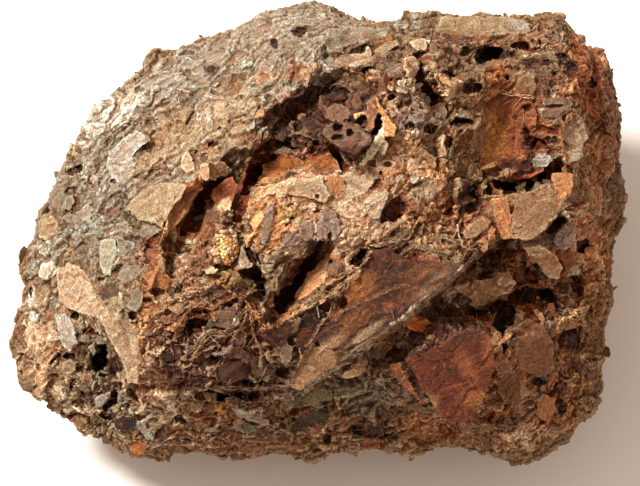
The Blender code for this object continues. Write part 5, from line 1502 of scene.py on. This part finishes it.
def build_veins(surface, material):
    """Thin walls along the named veins, and loose threads where the veins show."""
    ground = BVHTree.FromObject(surface, bpy.context.evaluated_depsgraph_get())
    chance = random.Random(21)
    bm = bmesh.new()
    marks = []
    for vein in RIDGES.values():
        add_vein(bm, ground, marks, chance, vein)
    for *area, count, tint in THREADS:
        for _ in range(count):
            add_thread(bm, ground, marks, chance, area, tint)
    bmesh.ops.recalc_face_normals(bm, faces=bm.faces[:])
    veins = new_object("vein_walls", mesh_of(bm, "vein_walls"))
    marks = np.array(marks)
    tint = np.concatenate([marks[:, :3], np.ones((len(marks), 1))], axis=1)
    store(veins.data, "tint", tint, "FLOAT_COLOR")
    store(veins.data, "fleck", tint * (0.7, 0.65, 0.6, 1.0), "FLOAT_COLOR")
    store(veins.data, "tone", marks[:, 3])
    veins.data.materials.append(material)
    veins.data.shade_flat()
    stand_on_floor(veins.data)
    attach(veins, BODY)


# ---- beads
BEAD_BED = (-23.5, -15.0, -5.2, 4.4)  # from and to across the face, then up it
BEAD_TRIES = 9000
COLUMN_ACROSS, COLUMN_LEAN, COLUMN_HALF = -19.3, -0.1, 0.62
YELLOW_BEADS = [(-17.8, -0.1), (-18.2, -3.3), (-16.9, -1.9)]  # across and up


def bead_kind(across, up, chance):
    """Radius, tone and form: yellow-green beads in a column, yellow ones beside it, and crumbs around."""
    if abs(across - COLUMN_ACROSS - COLUMN_LEAN * up) < COLUMN_HALF and -3.0 < up < 2.0:
        return chance.uniform(0.36, 0.62), chance.uniform(0.0, 0.3), True
    for middle in YELLOW_BEADS:
        if math.dist(middle, (across, up)) < 0.65:
            return chance.uniform(0.4, 0.75), chance.uniform(0.36, 0.44), True
    return chance.uniform(0.35, 0.95), chance.uniform(0.5, 1.0), False


def add_bead(bm, place, radius, is_round, chance):
    """A bead, or an angular crumb: a squashed and jogged ball with flat faces."""
    made = bmesh.ops.create_icosphere(bm, subdivisions=2 if is_round else 1, radius=radius * MM)["verts"]
    squash = Vector([chance.uniform(0.8, 1.1) if is_round else chance.uniform(0.35, 1.2) for _ in range(3)])
    turn = Matrix.Rotation(chance.uniform(0, math.pi), 3, Vector([chance.gauss(0, 1) for _ in range(3)]))
    for vertex in made:
        jog = 1.0 if is_round else chance.uniform(0.7, 1.2)
        vertex.co = turn @ (vertex.co * squash * jog) + Vector(from_face(place))
    for face in {f for v in made for f in v.link_faces}:
        face.smooth = is_round
    return len(made)


def build_beads():
    """A crust of beads and crumbs over the crust's solid, each seated in it."""
    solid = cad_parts[BEADS]
    crust = BVHTree.FromObject(solid, bpy.context.evaluated_depsgraph_get())
    chance = random.Random(31)
    bm = bmesh.new()
    tones, kept = [], []
    left, right, low, high = BEAD_BED
    for _ in range(BEAD_TRIES):
        across, up = chance.uniform(left, right), chance.uniform(low, high)
        out = height_at(crust, (across, up))
        radius, tone, is_round = bead_kind(across, up, chance)
        if out is None:
            continue
        place = np.array((across, up, out + (0.1 if is_round else chance.uniform(-0.2, 0.5))))
        gap = 0.6 if is_round else 0.55
        if any(np.linalg.norm(place - other) < gap * (radius + size) for other, size in kept):
            continue
        kept.append((place, radius))
        tones += [tone] * add_bead(bm, place, radius, is_round, chance)
    beads = new_object("bead_crust", mesh_of(bm, "bead_crust"))
    store(beads.data, "tone", tones)
    core = new_object("bead_seat", solid.data.copy())
    store(core.data, "tone", np.full(len(core.data.vertices), 0.95))
    finish = bead_finish()
    for piece in (beads, core):
        piece.data.materials.clear()
        piece.data.materials.append(finish)
        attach(piece, BODY)
        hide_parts(BEADS)


# ---- materials
VEIN_CLAY = (*linear("#a88a62"), 1.0)
DEEP_RUST = (*linear("#9a4a1c"), 1.0)
RUST_GRAINS = (*linear("#94562c"), 1.0)
REDDENING = (0.86, 1.24, 1.55)  # powers of the factor that a colour's red, green and blue darken by
STREAKS = (0.5, 1.3, 1.0)  # patches of flecks are longest along the ledges
FLECKED, CHIPS_FLECKED = (0.48, 0.68), (0.35, 0.65)  # from none of the flecks' tint to all of it
UNEVEN, LEAST_UNEVEN = 0.45, 0.06  # how far fragments' tones differ in broken ground, and in any
CLAY_SHARE = 0.5  # of the thin veins
RUSTY = (0.5, 0.66)  # noise from which rust sets in, and at which it is full
# From and to how far a place stands out, in millimetres, then its share of rust or how light it is.
# The shade in depth is painted shade in what lies deep. The wear is wear, and also painted shade in
# crevices and painted highlights on what stands out.
RUST_IN_DEPTH = (0.1, -0.8, 0.15, 0.6)
SHADE_IN_DEPTH = (-1.8, 0.1, 0.35, 1.0)
WEAR_SHADE_AND_HIGHLIGHT, EDGE_WEAR_SHADE_AND_HIGHLIGHT = (-0.28, 0.24, 0.52, 1.2), (-0.07, 0.07, 0.78, 1.2)
# From and to which noise, then the grains' share or how light they are.
RUSTY_GRAINS, PALE_GRAINS = (0.52, 0.7, 0.0, 0.5), (0.54, 0.7, 1.0, 1.5)
FINE_GRAINS = (0.32, 0.68, 0.26, 1.78)
CRUMB_FORM = (0.75, 0.3, 0.12)  # slope, difference in height and gap of the crumbs
CHIPS_ROUGH = 0.3


def new_finish(name, roughness, specular):
    material = bpy.data.materials.new(name)
    material.use_nodes = True
    shader = material.node_tree.nodes["Principled BSDF"]
    shader.inputs["Roughness"].default_value = roughness
    shader.inputs["Specular IOR Level"].default_value = specular
    return material, material.node_tree, shader


def shaded(tree, colour, factor):
    """The colour, lighter or darker. The darker it gets, the redder, as iron stains do; where the factor
    is painted shade, this also gives that painted shade the warm colour of the stone's shadows.
    """
    parts = node(tree, VECTORS, [factor, REDDENING], operation="POWER")
    return node(tree, VECTORS, [colour, parts], operation="MULTIPLY")


def ground_colour(tree, place, rough):
    """Tint or flecks' tint, by fragment where the stone is broken and in soft patches where it isn't."""
    tint, fleck = (node(tree, PAINT, attribute_name=name) for name in ("tint", "fleck"))
    parts = node(tree, PARTS, [cells(tree, place, MIDDLE)[0]]).outputs
    centred = node(tree, MATH, [parts[0], 0.5], operation="SUBTRACT")
    streaks = node(tree, VECTORS, [place, STREAKS], operation="MULTIPLY")
    patches = node(tree, NOISE, {"Vector": streaks, "Scale": 0.5, "Detail": 5.0, "Roughness": 0.65})
    chance = node(tree, MATH, [centred, rough, patches], operation="MULTIPLY_ADD")
    share = node(tree, RANGE, [chance, *FLECKED])
    colour = node(tree, MIX, {0: share, 6: tint, 7: fleck}, **OF_COLOURS).outputs[2]
    spread = parts[1]
    for size in (COARSE, FINE, FINEST):
        part = node(tree, PARTS, [cells(tree, place, size)[0]]).outputs[2]
        spread = node(tree, MATH, [spread, part], operation="ADD")
    centred = node(tree, MATH, [spread, 2.0], operation="SUBTRACT")
    uneven = node(tree, MATH, [rough, UNEVEN, LEAST_UNEVEN], operation="MULTIPLY_ADD")
    return shaded(tree, colour, node(tree, MATH, [centred, uneven, 1.0], operation="MULTIPLY_ADD"))


def weathered(tree, colour, rest, place):
    """Veins; rust and painted shade in what lies deep; and wear, with painted shade in crevices and
    painted highlights on what stands out.
    """
    names = ("stand_edge", "stand_fine", "stand_broad", "veins")
    edge, fine, broad, veins = (node(tree, PAINT, attribute_name=name).outputs["Fac"] for name in names)
    on_vein = node(tree, MATH, [vein_net(tree, place, rest), veins], operation="MULTIPLY")
    weak = node(tree, MATH, [on_vein, CLAY_SHARE], operation="MULTIPLY")
    colour = node(tree, MIX, {0: weak, 6: colour, 7: VEIN_CLAY}, **OF_COLOURS).outputs[2]
    rust = node(tree, NOISE, {"Vector": rest, "Scale": 0.3, "Detail": 4.0, "Roughness": 0.6})
    rusty = node(tree, RANGE, [rust, *RUSTY])
    low = node(tree, RANGE, [broad, *RUST_IN_DEPTH])
    stain = node(tree, MATH, [rusty, low], operation="MULTIPLY")
    colour = node(tree, MIX, {0: stain, 6: colour, 7: DEEP_RUST}, **OF_COLOURS).outputs[2]
    # Painted shade in small crevices and painted highlights on what stands out, with wear.
    worn_shaded_and_lit = node(tree, RANGE, [fine, *WEAR_SHADE_AND_HIGHLIGHT])
    edge_shade_and_highlight = node(tree, RANGE, [edge, *EDGE_WEAR_SHADE_AND_HIGHLIGHT])
    worn_shaded_and_lit = node(tree, MATH, [worn_shaded_and_lit, edge_shade_and_highlight], operation="MULTIPLY")
    # Painted shade: what lies deep is darkened.
    deep = node(tree, RANGE, [broad, *SHADE_IN_DEPTH])
    return shaded(tree, colour, node(tree, MATH, [worn_shaded_and_lit, deep], operation="MULTIPLY"))


def speckled(tree, colour, rest):
    """Grains of rust, silica and clay, two or three to a millimetre, and finer light and dark ones."""
    grit = node(tree, NOISE, {"Vector": rest, "Scale": 0.9, "Detail": 4.0, "Roughness": 0.6})
    parts = node(tree, PARTS, [grit.outputs["Color"]]).outputs
    rusty = node(tree, RANGE, [parts[0], *RUSTY_GRAINS])
    colour = node(tree, MIX, {0: rusty, 6: colour, 7: RUST_GRAINS}, **OF_COLOURS).outputs[2]
    pale = node(tree, RANGE, [parts[1], *PALE_GRAINS])
    grains = node(tree, NOISE, {"Vector": rest, "Scale": 2.8, "Detail": 3.0, "Roughness": 0.9})
    light = node(tree, RANGE, [grains, *FINE_GRAINS])
    light = node(tree, MATH, [light, pale], operation="MULTIPLY")
    return node(tree, VECTORS, {0: colour, "Scale": light}, operation="SCALE")


def grain_bump(tree, rest, rough, shader):
    """Crumbs half a millimetre wide, each with its own flat top, and grain of a tenth and more."""
    crumbs = tilted_fragments(tree, rest, CRUMB, *CRUMB_FORM)
    grain = node(tree, NOISE, {"Vector": rest, "Scale": 2.4, "Detail": 6.0, "Roughness": 0.75})
    mixed = node(tree, MATH, [crumbs, rough], operation="MULTIPLY")
    height = node(tree, MATH, [grain, 0.5, mixed], operation="MULTIPLY_ADD")
    bumped = node(tree, "ShaderNodeBump", {"Height": height, "Strength": 0.9, "Distance": MM})
    tree.links.new(bumped.outputs[0], shader.inputs["Normal"])


def weathered_breccia():
    """Weathered serpentinite breccia: dull angular fragments in a brown iron-stained cement."""
    material, tree, shader = new_finish("Weathered breccia", 0.85, 0.3)
    rest = node(tree, PAINT, attribute_name="rest").outputs["Vector"]
    rough = node(tree, PAINT, attribute_name="rough").outputs["Fac"]
    place = fabric(tree, rest)
    colour = weathered(tree, ground_colour(tree, place, rough), rest, place)
    colour = speckled(tree, colour, rest)
    tree.links.new(colour.outputs[0], shader.inputs["Base Color"])
    grain_bump(tree, rest, rough, shader)
    return material


def broken_fragments():
    """Loose chips and vein walls of the same rock, each with its own tone."""
    material, tree, shader = new_finish("Broken fragments", 0.8, 0.3)
    place = node(tree, "ShaderNodeTexCoord").outputs["Object"]
    rest = node(tree, VECTORS, {0: place, "Scale": 1 / MM}, operation="SCALE").outputs[0]
    tint, fleck = (node(tree, PAINT, attribute_name=name) for name in ("tint", "fleck"))
    tone = node(tree, PAINT, attribute_name="tone").outputs["Fac"]
    share = node(tree, RANGE, [tone, *CHIPS_FLECKED])
    colour = node(tree, MIX, {0: share, 6: tint, 7: fleck}, **OF_COLOURS).outputs[2]
    many = node(tree, MATH, [tone, 7.0], operation="MULTIPLY")
    odd = node(tree, MATH, [many], operation="FRACT")
    colour = shaded(tree, colour, node(tree, RANGE, {0: odd, 3: 0.6, 4: 1.3}))
    colour = speckled(tree, colour, rest)
    tree.links.new(colour.outputs[0], shader.inputs["Base Color"])
    grain_bump(tree, rest, CHIPS_ROUGH, shader)
    return material


BEAD_TONES = [  # yellow-green, then orange, then the crumbs' cream to brown
    (0.0, "#c4b468"), (0.32, "#d6c88c"), (0.38, "#b8803c"), (0.46, "#b07434"), (0.52, "#dcc29c"),
    (0.64, "#b8906a"), (0.76, "#ccaa80"), (0.88, "#a06e46"), (1.0, "#8c7054"),
]


def bead_finish():
    """Garnierite: waxy yellow-green beads, and brown and orange ones."""
    material, tree, shader = new_finish("Garnierite", 0.42, 0.5)
    place = node(tree, "ShaderNodeTexCoord").outputs["Object"]
    rest = node(tree, VECTORS, {0: place, "Scale": 1 / MM}, operation="SCALE").outputs[0]
    tone = node(tree, PAINT, attribute_name="tone").outputs["Fac"]
    ramp = node(tree, "ShaderNodeValToRGB", [tone])
    while len(ramp.color_ramp.elements) < len(BEAD_TONES):
        ramp.color_ramp.elements.new(1.0)
    for element, (position, colour) in zip(ramp.color_ramp.elements, BEAD_TONES):
        element.position, element.color = position, (*linear(colour), 1.0)
    patches = node(tree, NOISE, {"Vector": rest, "Scale": 1.2, "Detail": 3.0})
    colour = shaded(tree, ramp, node(tree, RANGE, [patches, 0.3, 0.7, 0.65, 1.2]))
    tree.links.new(colour.outputs[0], shader.inputs["Base Color"])
    return material


def studio_floor_finish():
    """White paper: flat, without gloss."""
    material, _, shader = new_finish("White paper", 0.9, 0.2)
    shader.inputs["Base Color"].default_value = (*linear("#f2eeea"), 1.0)
    return material


# ---- studio
def add_floor():
    bpy.ops.mesh.primitive_plane_add(size=6.0)
    floor = bpy.context.object
    floor.name = "floor"
    floor.data.materials.append(studio_floor_finish())


def add_camera():
    camera = bpy.data.cameras.new("Camera")
    camera.sensor_fit = "HORIZONTAL"
    camera.lens = camera.sensor_width * CAMERA_DISTANCE / FIELD_WIDTH
    camera.clip_end = 20.0
    obj = bpy.data.objects.new("Camera", camera)
    turn = Matrix([ACROSS, UP, OUT]).transposed().to_4x4()
    place = from_face(np.array((0.0, 0.0, VIEW_DEPTH + CAMERA_DISTANCE)))
    obj.matrix_world = Matrix.Translation(place) @ turn
    bpy.context.scene.collection.objects.link(obj)
    bpy.context.scene.camera = obj


def add_lights():
    """A warm key from the upper left of the face, and a warm surround."""
    target = Vector(from_face(np.array((0.0, 0.0, 10.0))))
    towards = Vector(tuple(KEY_ACROSS * ACROSS + KEY_UP * UP + KEY_OUT * OUT)).normalized()
    light = bpy.data.lights.new("Key", "AREA")
    light.shape = "DISK"
    light.size = KEY_SIZE
    light.energy = KEY_POWER
    light.color = KEY_COLOUR
    key = bpy.data.objects.new("Key", light)
    key.location = target + towards * KEY_DISTANCE
    key.rotation_euler = towards.to_track_quat("Z", "Y").to_euler()
    bpy.context.scene.collection.objects.link(key)
    world = bpy.data.worlds.new("Surround")
    world.use_nodes = True
    background = world.node_tree.nodes["Background"].inputs
    background["Color"].default_value = SURROUND_COLOUR
    background["Strength"].default_value = SURROUND_STRENGTH
    bpy.context.scene.world = world


add_camera()
rock = build_surface()
split_surface(rock)
fragments = broken_fragments()
build_chips(rock, fragments)
build_veins(rock, fragments)
build_beads()
drop(rock)
add_floor()
add_lights()
bpy.context.scene.view_settings.view_transform = "Standard"
